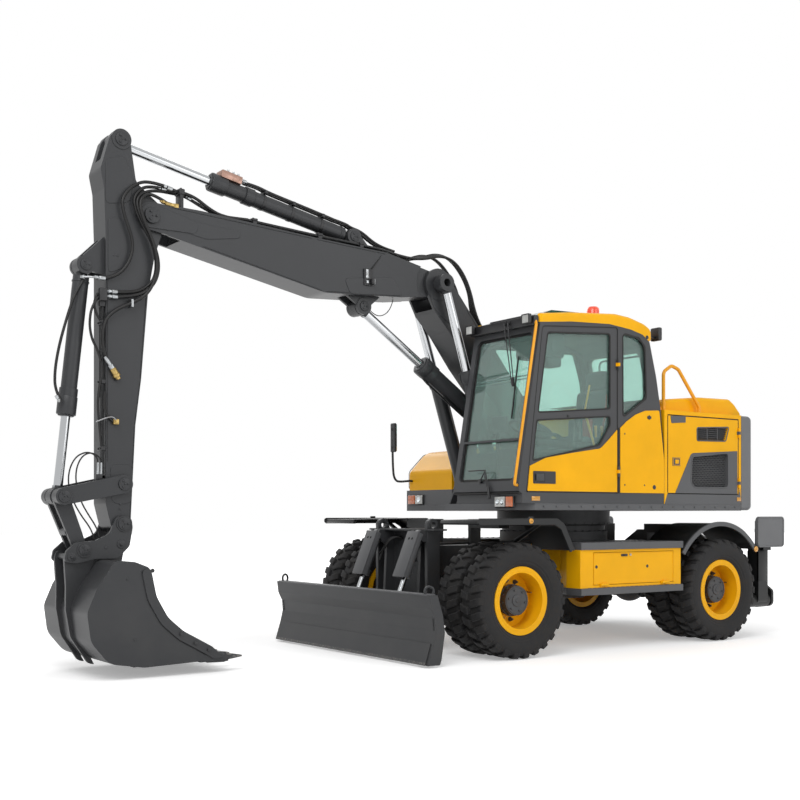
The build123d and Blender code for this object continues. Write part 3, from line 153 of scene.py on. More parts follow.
# ---------------------------------------------------------------- finishes
def enamel(name, colour, gloss, edge=4.0, dust=0.25, clear=0.12, shine=0.3):
    """Two-pack machine enamel, sprayed over primed plate: even colour, slight orange peel
    that softens the reflections, rounded edges, and a film of dust where it faces up."""
    material, tree, shader, place = blank(name)
    cloud = noise(tree, place, 420, 4.0)
    fine = noise(tree, place, 55, 3.0)
    tone = two_tone(tree, spread(tree, cloud.outputs["Fac"], 0.3, 0.7, 0.0, 1.0), rgba(colour, 0.93), rgba(colour, 1.05))
    film = product(tree, upward(tree), spread(tree, fine.outputs["Fac"], 0.35, 0.75, 0.0, dust))
    low = product(tree, near_ground(tree, place, 150, 900), spread(tree, cloud.outputs["Fac"], 0.4, 0.7, 0.0, dust * 0.6))
    grime = add(tree, "ShaderNodeMath", {0: film, 1: low}, operation="ADD", use_clamp=True).outputs["Value"]
    tree.links.new(two_tone(tree, grime, tone, rgba(linear("#8C8477"))), shader.inputs["Base Color"])
    tree.links.new(spread(tree, grime, 0.0, 0.5, gloss, gloss + 0.3), shader.inputs["Roughness"])
    shader.inputs["Specular IOR Level"].default_value = shine
    shader.inputs["Coat Weight"].default_value = clear
    shader.inputs["Coat Roughness"].default_value = 0.12
    # orange peel is about 4 mm from crest to crest
    peel = noise(tree, place, 4, 1.0)
    soft = add(tree, "ShaderNodeBevel", {"Radius": edge * MM}, samples=4).outputs["Normal"]
    bump = add(tree, "ShaderNodeBump", {"Height": peel.outputs["Fac"], "Strength": 0.06, "Distance": 0.0006, "Normal": soft})
    tree.links.new(bump.outputs["Normal"], shader.inputs["Normal"])
    return material


def rubber(name, colour, rough, dust, grain_mm=3.0, low=900):
    """Moulded black rubber: dull, a fine grain, greyer where dust has settled."""
    material, tree, shader, place = blank(name)
    cloud = noise(tree, place, 90, 5.0, 0.6)
    settled = spread(tree, cloud.outputs["Fac"], 0.35, 0.72, 0.0, dust)
    tone = two_tone(tree, settled, rgba(colour), rgba(linear("#6B655C")))
    tree.links.new(tone, shader.inputs["Base Color"])
    tree.links.new(spread(tree, cloud.outputs["Fac"], 0.3, 0.7, rough - 0.08, rough + 0.08), shader.inputs["Roughness"])
    shader.inputs["Specular IOR Level"].default_value = 0.35
    grain = noise(tree, place, grain_mm, 2.0)
    soft = add(tree, "ShaderNodeBevel", {"Radius": 0.003}, samples=4).outputs["Normal"]
    bump = add(tree, "ShaderNodeBump", {"Height": grain.outputs["Fac"], "Strength": 0.25, "Distance": 0.0012, "Normal": soft})
    tree.links.new(bump.outputs["Normal"], shader.inputs["Normal"])
    return material


def metal(name, colour, rough, brushed_mm=0.0, tarnish="#5A4A38", stain=0.0, bump=0.1):
    """Bare metal: plated, turned or worn, with its tarnish in blotches."""
    material, tree, shader, place = blank(name)
    cloud = noise(tree, place, 40, 4.0)
    amount = spread(tree, cloud.outputs["Fac"], 0.45, 0.7, 0.0, stain)
    tree.links.new(two_tone(tree, amount, rgba(colour), rgba(linear(tarnish))), shader.inputs["Base Color"])
    tree.links.new(spread(tree, cloud.outputs["Fac"], 0.3, 0.7, rough * 0.8, rough * 1.25), shader.inputs["Roughness"])
    shader.inputs["Metallic"].default_value = 1.0
    fine = noise(tree, place, brushed_mm or 2.5, 2.0)
    relief = add(tree, "ShaderNodeBump", {"Height": fine.outputs["Fac"], "Strength": bump, "Distance": 0.0004})
    tree.links.new(relief.outputs["Normal"], shader.inputs["Normal"])
    return material


def casting(name, colour, rough):
    """Sand-cast and painted iron: a coarse skin of about 6 mm pits, satin paint."""
    material, tree, shader, place = blank(name)
    cloud = noise(tree, place, 120, 4.0)
    skin = noise(tree, place, 6, 3.0)
    tone = two_tone(tree, spread(tree, cloud.outputs["Fac"], 0.3, 0.7, 0.0, 1.0), rgba(colour, 0.85), rgba(colour, 1.15))
    tree.links.new(tone, shader.inputs["Base Color"])
    tree.links.new(spread(tree, skin.outputs["Fac"], 0.3, 0.7, rough - 0.08, rough + 0.08), shader.inputs["Roughness"])
    soft = add(tree, "ShaderNodeBevel", {"Radius": 0.006}, samples=4).outputs["Normal"]
    bump = add(tree, "ShaderNodeBump", {"Height": skin.outputs["Fac"], "Strength": 0.35, "Distance": 0.001, "Normal": soft})
    tree.links.new(bump.outputs["Normal"], shader.inputs["Normal"])
    return material


def plastic(name, colour, rough, grain_mm=1.6, relief=0.2):
    """Injection-moulded plastic with a leather-like grain, as on cab trim and lamp shells."""
    material, tree, shader, place = blank(name)
    cells = add(tree, "ShaderNodeTexVoronoi", {"Vector": place, "Scale": 1 / (grain_mm * MM)})
    cloud = noise(tree, place, 150, 2.0)
    tone = two_tone(tree, spread(tree, cloud.outputs["Fac"], 0.3, 0.7, 0.0, 1.0), rgba(colour, 0.9), rgba(colour, 1.1))
    tree.links.new(tone, shader.inputs["Base Color"])
    tree.links.new(spread(tree, cloud.outputs["Fac"], 0.3, 0.7, rough - 0.05, rough + 0.05), shader.inputs["Roughness"])
    bump = add(tree, "ShaderNodeBump", {"Height": cells.outputs["Distance"], "Strength": relief, "Distance": 0.0004})
    tree.links.new(bump.outputs["Normal"], shader.inputs["Normal"])
    return material


def pane(name, colour, weight=0.9, rough=0.0, ior=1.5):
    """Tinted laminated safety glass: clear, green through its thickness, with a faint film of dust."""
    material, tree, shader, place = blank(name)
    cloud = noise(tree, place, 260, 3.0)
    tone = two_tone(tree, spread(tree, cloud.outputs["Fac"], 0.3, 0.7, 0.0, 1.0), rgba(colour, 0.96), rgba(colour, 1.0))
    tree.links.new(tone, shader.inputs["Base Color"])
    tree.links.new(spread(tree, cloud.outputs["Fac"], 0.5, 0.8, rough, rough + 0.004), shader.inputs["Roughness"])
    shader.inputs["Transmission Weight"].default_value = weight
    shader.inputs["IOR"].default_value = ior
    return material


def lens(name, colour, clear, glow=0.0, flute_mm=9.0):
    """Moulded lamp lens: coloured acrylic with ribs inside that break up the light."""
    material, tree, shader, place = blank(name)
    flutes = add(tree, "ShaderNodeTexWave", {"Vector": place, "Scale": 0.157 / (flute_mm * MM), "Distortion": 0.3}, bands_direction="Y")
    tone = two_tone(tree, flutes.outputs["Fac"], rgba(colour, 0.72), rgba(colour, 1.12))
    tree.links.new(tone, shader.inputs["Base Color"])
    shader.inputs["Roughness"].default_value = 0.12
    shader.inputs["Transmission Weight"].default_value = clear
    shader.inputs["IOR"].default_value = 1.49
    shader.inputs["Coat Weight"].default_value = 0.6
    if glow:
        tree.links.new(tone, shader.inputs["Emission Color"])
        shader.inputs["Emission Strength"].default_value = glow
    bump = add(tree, "ShaderNodeBump", {"Height": flutes.outputs["Fac"], "Strength": 0.3, "Distance": 0.001})
    tree.links.new(bump.outputs["Normal"], shader.inputs["Normal"])
    return material


def cloth(name, colour, thread_mm=2.2):
    """Woven seat fabric: crossing threads, drawn at 2.2 mm because the real 0.6 mm would not show."""
    material, tree, shader, place = blank(name)
    scale = 0.314 / (thread_mm * MM)
    warp = add(tree, "ShaderNodeTexWave", {"Vector": place, "Scale": scale}, bands_direction="Y")
    weft = add(tree, "ShaderNodeTexWave", {"Vector": place, "Scale": scale}, bands_direction="Z")
    weave = add(tree, "ShaderNodeMath", {0: warp.outputs["Fac"], 1: weft.outputs["Fac"]}, operation="MULTIPLY").outputs["Value"]
    tree.links.new(two_tone(tree, weave, rgba(colour, 0.7), rgba(colour, 1.25)), shader.inputs["Base Color"])
    shader.inputs["Roughness"].default_value = 0.9
    shader.inputs["Sheen Weight"].default_value = 0.3
    bump = add(tree, "ShaderNodeBump", {"Height": weave, "Strength": 0.4, "Distance": 0.0006})
    tree.links.new(bump.outputs["Normal"], shader.inputs["Normal"])
    return material


def worn_steel(name, colour):
    """Cutting edge steel: paint scuffed through to bright metal in streaks along the digging direction."""
    material, tree, shader, place = blank(name)
    stretched = add(tree, "ShaderNodeMapping", {"Vector": place, "Scale": (0.12, 1.0, 0.6)}).outputs["Vector"]
    streak = noise(tree, stretched, 9, 4.0, 0.65)
    bare = spread(tree, streak.outputs["Fac"], 0.5, 0.66, 0.0, 1.0)
    tree.links.new(two_tone(tree, bare, rgba(colour), rgba(linear("#8E8A84"))), shader.inputs["Base Color"])
    tree.links.new(spread(tree, bare, 0.0, 1.0, 0.0, 0.8), shader.inputs["Metallic"])
    tree.links.new(spread(tree, bare, 0.0, 1.0, 0.55, 0.34), shader.inputs["Roughness"])
    soft = add(tree, "ShaderNodeBevel", {"Radius": 0.004}, samples=4).outputs["Normal"]
    bump = add(tree, "ShaderNodeBump", {"Height": streak.outputs["Fac"], "Strength": 0.3, "Distance": 0.001, "Normal": soft})
    tree.links.new(bump.outputs["Normal"], shader.inputs["Normal"])
    return material


FINISHES = {}


def mix_finishes(colours):
    FINISHES.update(
        yellow=enamel("yellow_enamel", colours.yellow, 0.32, dust=0.03, clear=0.05, shine=0.16),
        rim=enamel("rim_yellow_enamel", colours.yellow, 0.34, dust=0.06, clear=0.05, shine=0.16),
        charcoal=enamel("charcoal_enamel", colours.charcoal, 0.42, dust=0.06, clear=0.05),
        graphite=enamel("graphite_enamel", colours.graphite, 0.45, dust=0.08, clear=0.05),
        frame=enamel("cab_frame_enamel", colours.frame, 0.42, dust=0.04, clear=0.05),
        grey=enamel("counterweight_enamel", colours.grey, 0.48, edge=6.0, dust=0.1, clear=0.04),
        black=enamel("black_enamel", colours.black, 0.4, dust=0.1, clear=0.05),
        rail=enamel("handrail_enamel", colours.rail, 0.36, dust=0.1),
        red=enamel("red_lever_enamel", linear("#B8352A"), 0.4, dust=0.05),
        step=rubber("step_tread_rubber", linear("#3A3B3D"), 0.75, 0.35, 5.0),
        tyre=rubber("tyre_rubber", linear("#18181A"), 0.75, 0.1),
        hose=rubber("hose_rubber", linear("#101011"), 0.45, 0.03, 1.5),
        seal=rubber("seal_rubber", linear("#141415"), 0.55, 0.08, 1.5),
        chrome=metal("chrome_plate", linear("#B4B6B8"), 0.14, bump=0.02),
        zinc=metal("zinc_plate", linear("#A3A6A8"), 0.34, 1.5, stain=0.25),
        brass=metal("yellow_zinc_plate", linear("#A8905A"), 0.34, 1.5, stain=0.35),
        copper=metal("copper_plate", linear("#A58578"), 0.4, 1.5, stain=0.4),
        steel=metal("machined_steel", linear("#8D8E90"), 0.34, 1.2, stain=0.3),
        iron=casting("cast_iron_paint", linear("#3D3E40"), 0.55),
        engine=casting("engine_block_paint", linear("#4C5A50"), 0.5),
        wear=worn_steel("worn_edge_steel", colours.charcoal),
        trim=plastic("cab_trim_plastic", linear("#3B3C3E"), 0.6),
        light_trim=plastic("pale_trim_plastic", linear("#77797A"), 0.6),
        shell=plastic("lamp_shell_plastic", linear("#1D1D1F"), 0.45),
        cloth=cloth("seat_cloth", linear("#4A4C50")),
        glass=pane("tinted_safety_glass", linear("#D2F1E8")),
        roof_glass=pane("dark_roof_glass", linear("#4E9484")),
        mirror=metal("mirror_glass", linear("#C9CFD2"), 0.05, bump=0.0),
        clear=lens("clear_lamp_lens", linear("#E9EAE6"), 0.35),
        amber=lens("amber_lamp_lens", linear("#E0712C"), 0.15),
        red_lens=lens("red_lamp_lens", linear("#B0281E"), 0.15),
        beacon=lens("beacon_dome", linear("#F0562E"), 0.3, 0.22, 6.0),
        reflector=lens("amber_reflector", linear("#E9A21B"), 0.0, 0.0, 4.0),
        # Near-black plastic: the monitor screen's own black, and painted shade in the blade guards' holes.
        dark=plastic("shadow_black", linear("#08080A"), 0.9, 3.0, 0.1),
    )


# ---------------------------------------------------------------- shop operations, in millimetres
def turn_to(direction):
    """Rotation that takes Z to a direction."""
    return Vector(direction).normalized().to_track_quat("Z", "Y").to_matrix().to_4x4()


def soften(bm, verts, radius, segments=2, angle=30):
    """Rounds a shape's sharp edges."""
    if radius <= 0:
        return
    edges = {e for v in verts for e in v.link_edges}
    sharp = [e for e in edges if len(e.link_faces) == 2 and e.calc_face_angle(0) > math.radians(angle)]
    if sharp:
        bmesh.ops.bevel(bm, geom=sharp, offset=radius, offset_type="OFFSET", segments=segments, profile=0.5,
                        affect="EDGES", clamp_overlap=True, material=-1)


def box(bm, lo, hi, radius=2.0, segments=2, spin=None, about=None):
    """Block between two corners, its edges rounded, turned by a matrix about a point."""
    lo, hi = Vector(lo), Vector(hi)
    verts = bmesh.ops.create_cube(bm, size=1.0)["verts"]
    place = Matrix.Translation((lo + hi) / 2) @ Matrix.Diagonal((*(hi - lo), 1.0))
    if spin is not None:
        centre = Matrix.Translation(Vector(about) if about is not None else (lo + hi) / 2)
        place = centre @ spin @ centre.inverted() @ place
    bmesh.ops.transform(bm, matrix=place, verts=verts)
    soften(bm, verts, radius, segments)


def rod(bm, p, q, r, r2=None, sides=24, radius=0.0, caps=True):
    """Round or many-sided bar from p to q."""
    p, q = Vector(p), Vector(q)
    length = (q - p).length
    place = Matrix.Translation((p + q) / 2) @ turn_to(q - p)
    made = bmesh.ops.create_cone(bm, cap_ends=caps, cap_tris=False, segments=sides, radius1=r, radius2=r if r2 is None else r2,
                                 depth=length, matrix=place)
    soften(bm, made["verts"], radius, 2, 50)


def washer(bm, p, q, r_out, r_in, sides=28, radius=1.0):
    """Flat ring from p to q, spun from its section."""
    p, q = Vector(p), Vector(q)
    axis = (q - p).normalized()
    side = axis.orthogonal().normalized()
    section = [p + side * r_in, p + side * r_out, q + side * r_out, q + side * r_in]
    ring(bm, section, p, axis, sides, radius)


def ring(bm, section, centre, axis, sides=48, radius=0.0):
    """Closed section spun right round an axis."""
    verts = [bm.verts.new(v) for v in section]
    edges = [bm.edges.new((verts[i - 1], verts[i])) for i in range(len(verts))]
    made = bmesh.ops.spin(bm, geom=verts + edges, cent=centre, axis=axis, angle=TURN, steps=sides, use_merge=True)
    spun = {v for v in made["geom_last"] if isinstance(v, bmesh.types.BMVert)}
    grown = set(verts)
    stack = list(verts)
    while stack:
        for edge in stack.pop().link_edges:
            for v in edge.verts:
                if v not in grown:
                    grown.add(v)
                    stack.append(v)
    faces = {f for v in grown for f in v.link_faces}
    bmesh.ops.recalc_face_normals(bm, faces=list(faces))
    soften(bm, list(grown | spun), radius, 2, 50)


def plate(bm, outline, axis, lo, hi, corner=0.0, radius=1.5, steps=4, hole=0.0):
    """Outline extruded from lo to hi along an axis, its corners rounded. A hole width leaves only its border."""
    def spot(u, v, w):
        return {"x": (w, u, v), "y": (u, w, v), "z": (u, v, w)}[axis]
    verts = [bm.verts.new(spot(p[0], p[1], lo)) for p in outline]
    face = bm.faces.new(verts)
    if corner:
        made = bmesh.ops.bevel(bm, geom=verts, offset=corner, offset_type="OFFSET", segments=steps, profile=0.5,
                               affect="VERTICES", clamp_overlap=True, material=-1)
        face = max((f for f in {f for v in made["verts"] for f in v.link_faces}), key=lambda f: f.calc_area())
    start = [face]
    if hole:
        made = bmesh.ops.inset_region(bm, faces=[face], thickness=hole, depth=0.0, use_even_offset=True, use_boundary=True)
        start = made["faces"]
        bmesh.ops.delete(bm, geom=[face], context="FACES")
    grown = bmesh.ops.extrude_face_region(bm, geom=start)["geom"]
    top = [v for v in grown if isinstance(v, bmesh.types.BMVert)]
    shift = {"x": X, "y": Y, "z": Z}[axis] * (hi - lo)
    bmesh.ops.translate(bm, vec=shift, verts=top)
    near = {v for t in top for e in t.link_edges for v in e.verts}
    faces = {f for v in near for f in v.link_faces}
    bmesh.ops.recalc_face_normals(bm, faces=list(faces))
    soften(bm, list(near), radius, 1, 50)


def bolt(bm, p, direction, size, washer_too=True):
    """Hexagon head on its washer; size is the width across the flats."""
    p, direction = Vector(p), Vector(direction).normalized()
    if washer_too:
        rod(bm, p, p + direction * size * 0.14, size * 0.62, sides=16)
    rod(bm, p + direction * size * 0.1, p + direction * size * 0.62, size * 0.577, sides=6, radius=size * 0.05)


def circle_of(count, centre, axis, reach, start=0.0):
    """Points evenly round an axis."""
    centre, axis = Vector(centre), Vector(axis).normalized()
    side = Vector((0, 0, 1)) if abs(axis.z) < 0.9 else Vector((1, 0, 0))
    side = (side - axis * side.dot(axis)).normalized() * reach
    return [centre + Matrix.Rotation(start + TURN * i / count, 3, axis) @ side for i in range(count)]


def coupling(bm, p, direction, r, length=None):
    """Crimped hose end: ferrule, neck and hexagon nut, from the hose's end onwards."""
    p, direction = Vector(p), Vector(direction).normalized()
    length = length or r * 5.5
    rod(bm, p - direction * length * 0.1, p + direction * length * 0.5, r * 1.32, sides=20, radius=r * 0.12)
    rod(bm, p + direction * length * 0.45, p + direction * length * 0.66, r * 0.8, sides=16)
    rod(bm, p + direction * length * 0.62, p + direction * length * 0.95, r * 1.35, sides=6, radius=r * 0.08)
    rod(bm, p + direction * length * 0.9, p + direction * length * 1.15, r * 0.7, sides=16)


def weld(bm, p, q, r=4.0):
    """Bead of weld between two points, lumpy along its length."""
    p, q = Vector(p), Vector(q)
    count = max(2, int((q - p).length / (r * 2.4)))
    for i in range(count):
        spot = p.lerp(q, (i + 0.5) / count)
        bmesh.ops.create_icosphere(bm, subdivisions=1, radius=r * 1.45, matrix=Matrix.Translation(spot))


def mirrored(bm):
    """Adds the same shapes on the machine's other side."""
    made = bmesh.ops.duplicate(bm, geom=bm.verts[:] + bm.edges[:] + bm.faces[:])["geom"]
    verts = [v for v in made if isinstance(v, bmesh.types.BMVert)]
    faces = [f for f in made if isinstance(f, bmesh.types.BMFace)]
    bmesh.ops.scale(bm, vec=(1, -1, 1), verts=verts)
    bmesh.ops.reverse_faces(bm, faces=faces)


def settle(obj, body, finish, slot=None, replaces=()):
    """Gives a finished piece its material and its place on a body; its slot is not used."""
    if finish:
        obj.data.materials.append(FINISHES[finish])
    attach(obj, body)
    if replaces:
        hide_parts(*replaces)
    return obj


def piece(bm, name, body, finish, smooth=35, **more):
    """Mesh object from a bmesh drawn in millimetres, with its smooth edges marked."""
    bmesh.ops.transform(bm, matrix=Matrix.Translation(ORIGIN) @ Matrix.Scale(MM, 4), verts=bm.verts)
    limit = math.radians(smooth)
    for edge in bm.edges:
        edge.smooth = len(edge.link_faces) == 2 and edge.calc_face_angle(0) < limit
    for face in bm.faces:
        face.smooth = True
    mesh = bpy.data.meshes.new(name)
    bm.to_mesh(mesh)
    bm.free()
    obj = bpy.data.objects.new(name, mesh)
    bpy.context.scene.collection.objects.link(obj)
    return settle(obj, body, finish, **more)


def lines(name, routes, r, body, finish, fixed=False, **more):
    """Hoses or pipes of one size along smooth routes, each a row of points in millimetres."""
    curve = bpy.data.curves.new(name, "CURVE")
    curve.dimensions = "3D"
    curve.bevel_depth = r * MM
    curve.bevel_resolution = 3
    curve.resolution_u = 8
    curve.use_fill_caps = True
    for route in routes:
        spline = curve.splines.new("NURBS")
        spline.points.add(len(route) - 1)
        for point, spot in zip(spline.points, route):
            point.co = (*(Vector(spot) * MM + ORIGIN), 1.0)
        spline.order_u = 3
        spline.use_endpoint_u = True
    obj = bpy.data.objects.new(name, curve)
    bpy.context.scene.collection.objects.link(obj)
    return settle(obj, body, finish, **more)


def bending(name, routes, r, bodies, finish):
    """Hoses that cross one joint, made into one plain mesh that is attached to no body."""
    drawn = lines(name + "_line", routes, r, bodies[0], None)
    drawn.parent = None
    bpy.context.view_layer.update()
    mesh = bpy.data.meshes.new_from_object(drawn.evaluated_get(bpy.context.evaluated_depsgraph_get()))
    bpy.data.objects.remove(drawn)
    for polygon in mesh.polygons:
        polygon.use_smooth = True
    mesh.materials.clear()
    mesh.materials.append(FINISHES[finish])
    obj = bpy.data.objects.new(name, mesh)
    bpy.context.scene.collection.objects.link(obj)
    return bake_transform(obj)


def coat(node, finishes, choose=None):
    """Gives a CAD node its finishes; choose picks one for each face from its middle, in millimetres, and its normal."""
    obj = frame["nodes"][node]
    obj.data.materials.clear()
    for finish in finishes:
        obj.data.materials.append(FINISHES[finish])
    for polygon in obj.data.polygons:
        index = 0
        if choose:
            index = choose((polygon.center - ORIGIN) / MM, polygon.normal)
        polygon.material_index = int(index)


# ---------------------------------------------------------------- finishes on the CAD nodes
def within(c, spot, reach):
    """Whether a face's middle lies near an (x, z) point."""
    return math.hypot(c.x - spot[0], c.z - spot[1]) < reach


def coat_frame():
    coat("chassis_frame", ["yellow", "charcoal", "iron"], lambda c, n: 2 if c.z > 961 else c.x > 790 and c.z > 0)
    coat("side_boxes", ["yellow"])
    coat("toolbox_door", ["yellow"])
    coat("running_boards", ["graphite"])
    coat("front_fenders", ["black"])
    coat("rear_fenders", ["black", "graphite"], lambda c, n: abs(c.y) > 1221)
    for node in ("front_axle", "rear_axle", "left_knuckle", "right_knuckle", "driveline"):
        coat(node, ["iron"])
    coat("blade_bracket", ["charcoal"])
    coat("dozer_blade", ["charcoal", "wear"], lambda c, n: c.z < 27)
    coat("blade_barrels", ["graphite"])
    coat("outrigger_frame", ["black"])
    for side in ("left", "right"):
        coat(f"{side}_outrigger_leg", ["black", "grey"], lambda c, n: abs(c.y) > 1164 and c.z > 911)
        coat(f"{side}_outrigger_barrel", ["black"])
        coat(f"{side}_outrigger_rod", ["chrome"])
        coat(f"{side}_engine_door", ["yellow", "graphite"], lambda c, n: abs(c.y) > 1245.6 or abs(n.y) < 0.5 and -1240 < c.x < -600 and c.z < 1900)
    for wheel in ("front_left", "front_right", "rear_left", "rear_right"):
        axle = FRONT_AXLE if wheel.startswith("front") else REAR_AXLE
        coat(f"{wheel}_rims", ["rim", "iron"], lambda c, n, a=axle: within(c, (a[0], a[2]), 128.5))


def coat_upper():
    coat("platform", ["graphite", "charcoal", "iron"], lambda c, n: 2 if c.z < 1284.5 else c.z > 1346)
    coat("counterweight", ["grey"])
    coat("engine_housing", ["yellow", "graphite", "rail", "black"], housing_finish_and_bay_shade)
    coat("hood", ["yellow", "black"], lambda c, n: n.z < -0.9 or c.z < 2243)
    coat("engine", ["engine"])
    coat("right_cover", ["yellow", "graphite"], lambda c, n: c.z < 1500.5)
    coat("cab_shell", ["frame", "trim"], shell_finish)
    coat("cab_door", ["frame", "yellow"], lambda c, n: c.y > 1241.5)
    coat("cab_panels", ["yellow"])
    coat("cab_glass", ["glass", "roof_glass"], lambda c, n: c.z > 2926)
    coat("door_glass", ["glass"])


def housing_finish_and_bay_shade(c, n):
    if 1147 < c.y < 1183 and c.z > 2244:
        return 2
    if c.z < 1447 and abs(c.y) > 1240:
        return 1
    # Black on the engine bay's inner walls is painted shade for the dark bay seen through the grilles; faces below 1447
    # mm other than the outer skirt are black as well.
    inside = -1356 < c.x < -317 and abs(c.y) < 1244 and c.z < 2201
    return 3 if inside or c.z < 1447 else 0


def shell_finish(c, n):
    inside = c.x < 1480 and 389 < c.y < 1191 and c.z > 1400
    return 1 if inside else 0


def coat_boom():
    for node in ("lower_boom", "upper_boom", "arm", "side_links", "push_link", "quick_coupler"):
        coat(node, ["charcoal"])
    coat("bucket", ["charcoal", "wear"], lambda c, n: c.x < 3925)
    rods = {"lift": KNEE, "knee": (2365, 3121), "arm": (4660, 4185), "bucket": (5128, 1385), "blade": (2190, 455)}
    reach = {"lift": 82, "knee": 78, "arm": 76, "bucket": 70, "blade": 48}
    for name, eye in rods.items():
        pair = "s" if name in ("lift", "blade") else ""
        coat(f"{name}_rod{pair}", ["chrome", "charcoal"], lambda c, n, e=eye, r=reach[name]: within(c, e, r * 1.2))
        if name != "blade":
            coat(f"{name}_barrel{pair}", ["charcoal"])


# ---------------------------------------------------------------- wheels
def tyre_pattern(lugs, lug_depth, lug_width):
    """One lugged tyre about the origin, its axle along Y."""
    bm = bmesh.new()
    base, crown, half = 503 - lug_depth, 503, 139
    pitch = TURN / lugs
    for side in (1, -1):
        outline = [(base - 6, 10 * side), (crown, 18 * side), (crown, 74 * side), (crown - 5, 112 * side), (crown - 20, 131 * side),
                   (455, 138 * side), (438, 134 * side), (450, 118 * side)]
        part = bmesh.new()
        plate(part, outline, "z", -lug_width / 2, lug_width / 2, radius=7)
        lean = Matrix.Identity(4)
        lean[2][1] = 0.28 * side
        lean[2][3] = -0.28 * 70
        bmesh.ops.transform(part, matrix=Matrix.Rotation(pitch / 2 if side < 0 else 0.0, 4, "Y") @ lean, verts=part.verts)
        mesh = bpy.data.meshes.new("lug")
        part.to_mesh(mesh)
        part.free()
        bm.from_mesh(mesh)
        bpy.data.meshes.remove(mesh)
    first = bm.verts[:] + bm.edges[:] + bm.faces[:]
    for i in range(1, lugs):
        made = bmesh.ops.duplicate(bm, geom=first)["geom"]
        verts = [v for v in made if isinstance(v, bmesh.types.BMVert)]
        bmesh.ops.rotate(bm, cent=(0, 0, 0), matrix=Matrix.Rotation(pitch * i, 3, "Y"), verts=verts)
    bead = [(262, 92), (290, 94), (300, 99), (310, 112), (322, 119), (326, 123), (332, 122), (346, 128), (351, 132), (358, 131.5),
            (372, 136), (400, half), (428, 138), (450, 133), (468, 122), (base - 4, 104), (base, 70), (base + 2, 30)]
    section = [Vector((r, t, 0)) for r, t in bead] + [Vector((r, -t, 0)) for r, t in reversed(bead)]
    ring(bm, section, (0, 0, 0), Y, 84)
    mesh = bpy.data.meshes.new("tyre_pattern")
    bm.to_mesh(mesh)
    bm.free()
    return mesh


def fit_tyres(sizes):
    pattern = tyre_pattern(sizes.lug_count, sizes.lug_depth / MM, sizes.lug_width / MM)
    for end, axle in (("front", FRONT_AXLE), ("rear", REAR_AXLE)):
        for name, side in (("left", 1), ("right", -1)):
            bm = bmesh.new()
            bm.from_mesh(pattern)
            bmesh.ops.translate(bm, vec=(axle[0], TYRE_Y[0] * side, axle[2]), verts=bm.verts)
            made = bmesh.ops.duplicate(bm, geom=bm.verts[:] + bm.edges[:] + bm.faces[:])["geom"]
            verts = [v for v in made if isinstance(v, bmesh.types.BMVert)]
            bmesh.ops.translate(bm, vec=(0, (TYRE_Y[1] - TYRE_Y[0]) * side, 0), verts=verts)
            turn = Matrix.Rotation(0.05, 3, "Y")
            bmesh.ops.rotate(bm, cent=axle, matrix=turn, verts=verts)
            wheel = f"{end}_{name}"
            piece(bm, f"{wheel}_lugged_tyres", f"{wheel}_wheel", "tyre", slot="tyre_rubber", replaces=[f"{wheel}_tyres"])
    bpy.data.meshes.remove(pattern)


def fit_wheel_fastenings():
    for end, axle in (("front", FRONT_AXLE), ("rear", REAR_AXLE)):
        for name, side in (("left", 1), ("right", -1)):
            wheel = f"{end}_{name}"
            out = Vector((0, side, 0))
            bm = bmesh.new()
            disc = Vector((axle[0], 1052 * side, axle[2]))
            for spot in circle_of(10, disc, out, 172, 0.15):
                rod(bm, spot, spot + out * 5, 21, sides=20)
                rod(bm, spot + out * 4, spot + out * 24, 16.5, sides=6, radius=1.5)
                rod(bm, spot + out * 22, spot + out * 42, 9, sides=12, radius=1.5)
            face = Vector((axle[0], HUB_FACE * side, axle[2]))
            for spot in circle_of(6, face, out, 92, 0.3):
                bolt(bm, spot, out, 15)
            for spot in circle_of(12, face - out * 62, out, 127, 0.1):
                box(bm, spot - Vector((9, 30, 9)), spot + Vector((9, 30, 9)), 4)
            washer(bm, face - out * 78, face - out * 62, 140, 118, 40, 3)
            piece(bm, f"{wheel}_nuts", f"{wheel}_wheel", "iron")
            bm = bmesh.new()
            rod(bm, face - out * 2, face + out * 7, 52, sides=36, radius=3)
            rod(bm, face + out * 6, face + out * 12, 20, sides=8, radius=2)
            washer(bm, face - out * 1, face + out * 3, 118, 110, 48, 1)
            piece(bm, f"{wheel}_hub_cover", f"{wheel}_wheel", "iron")
            bm = bmesh.new()
            for y in (1226, 1233):
                centre = Vector((axle[0], y * side, axle[2]))
                r = 247 if y == 1226 else 262
                section = [centre + Vector((math.cos(a) * 5 + r, math.sin(a) * 5, 0)) for a in (0.4, 1.97, 3.54, 5.1)]
                ring(bm, section, centre, Y, 72)
            piece(bm, f"{wheel}_lock_rings", f"{wheel}_wheel", "rim")
            bm = bmesh.new()
            stem = Vector((axle[0] - 208, 1053 * side, axle[2] + 60))
            rod(bm, stem, stem + out * 20, 11, sides=16, radius=2)
            rod(bm, stem + out * 18, stem + out * 62, 5, sides=12, radius=1)
            rod(bm, stem + out * 58, stem + out * 78, 7.5, sides=14, radius=1.5)
            piece(bm, f"{wheel}_valve", f"{wheel}_wheel", "brass")


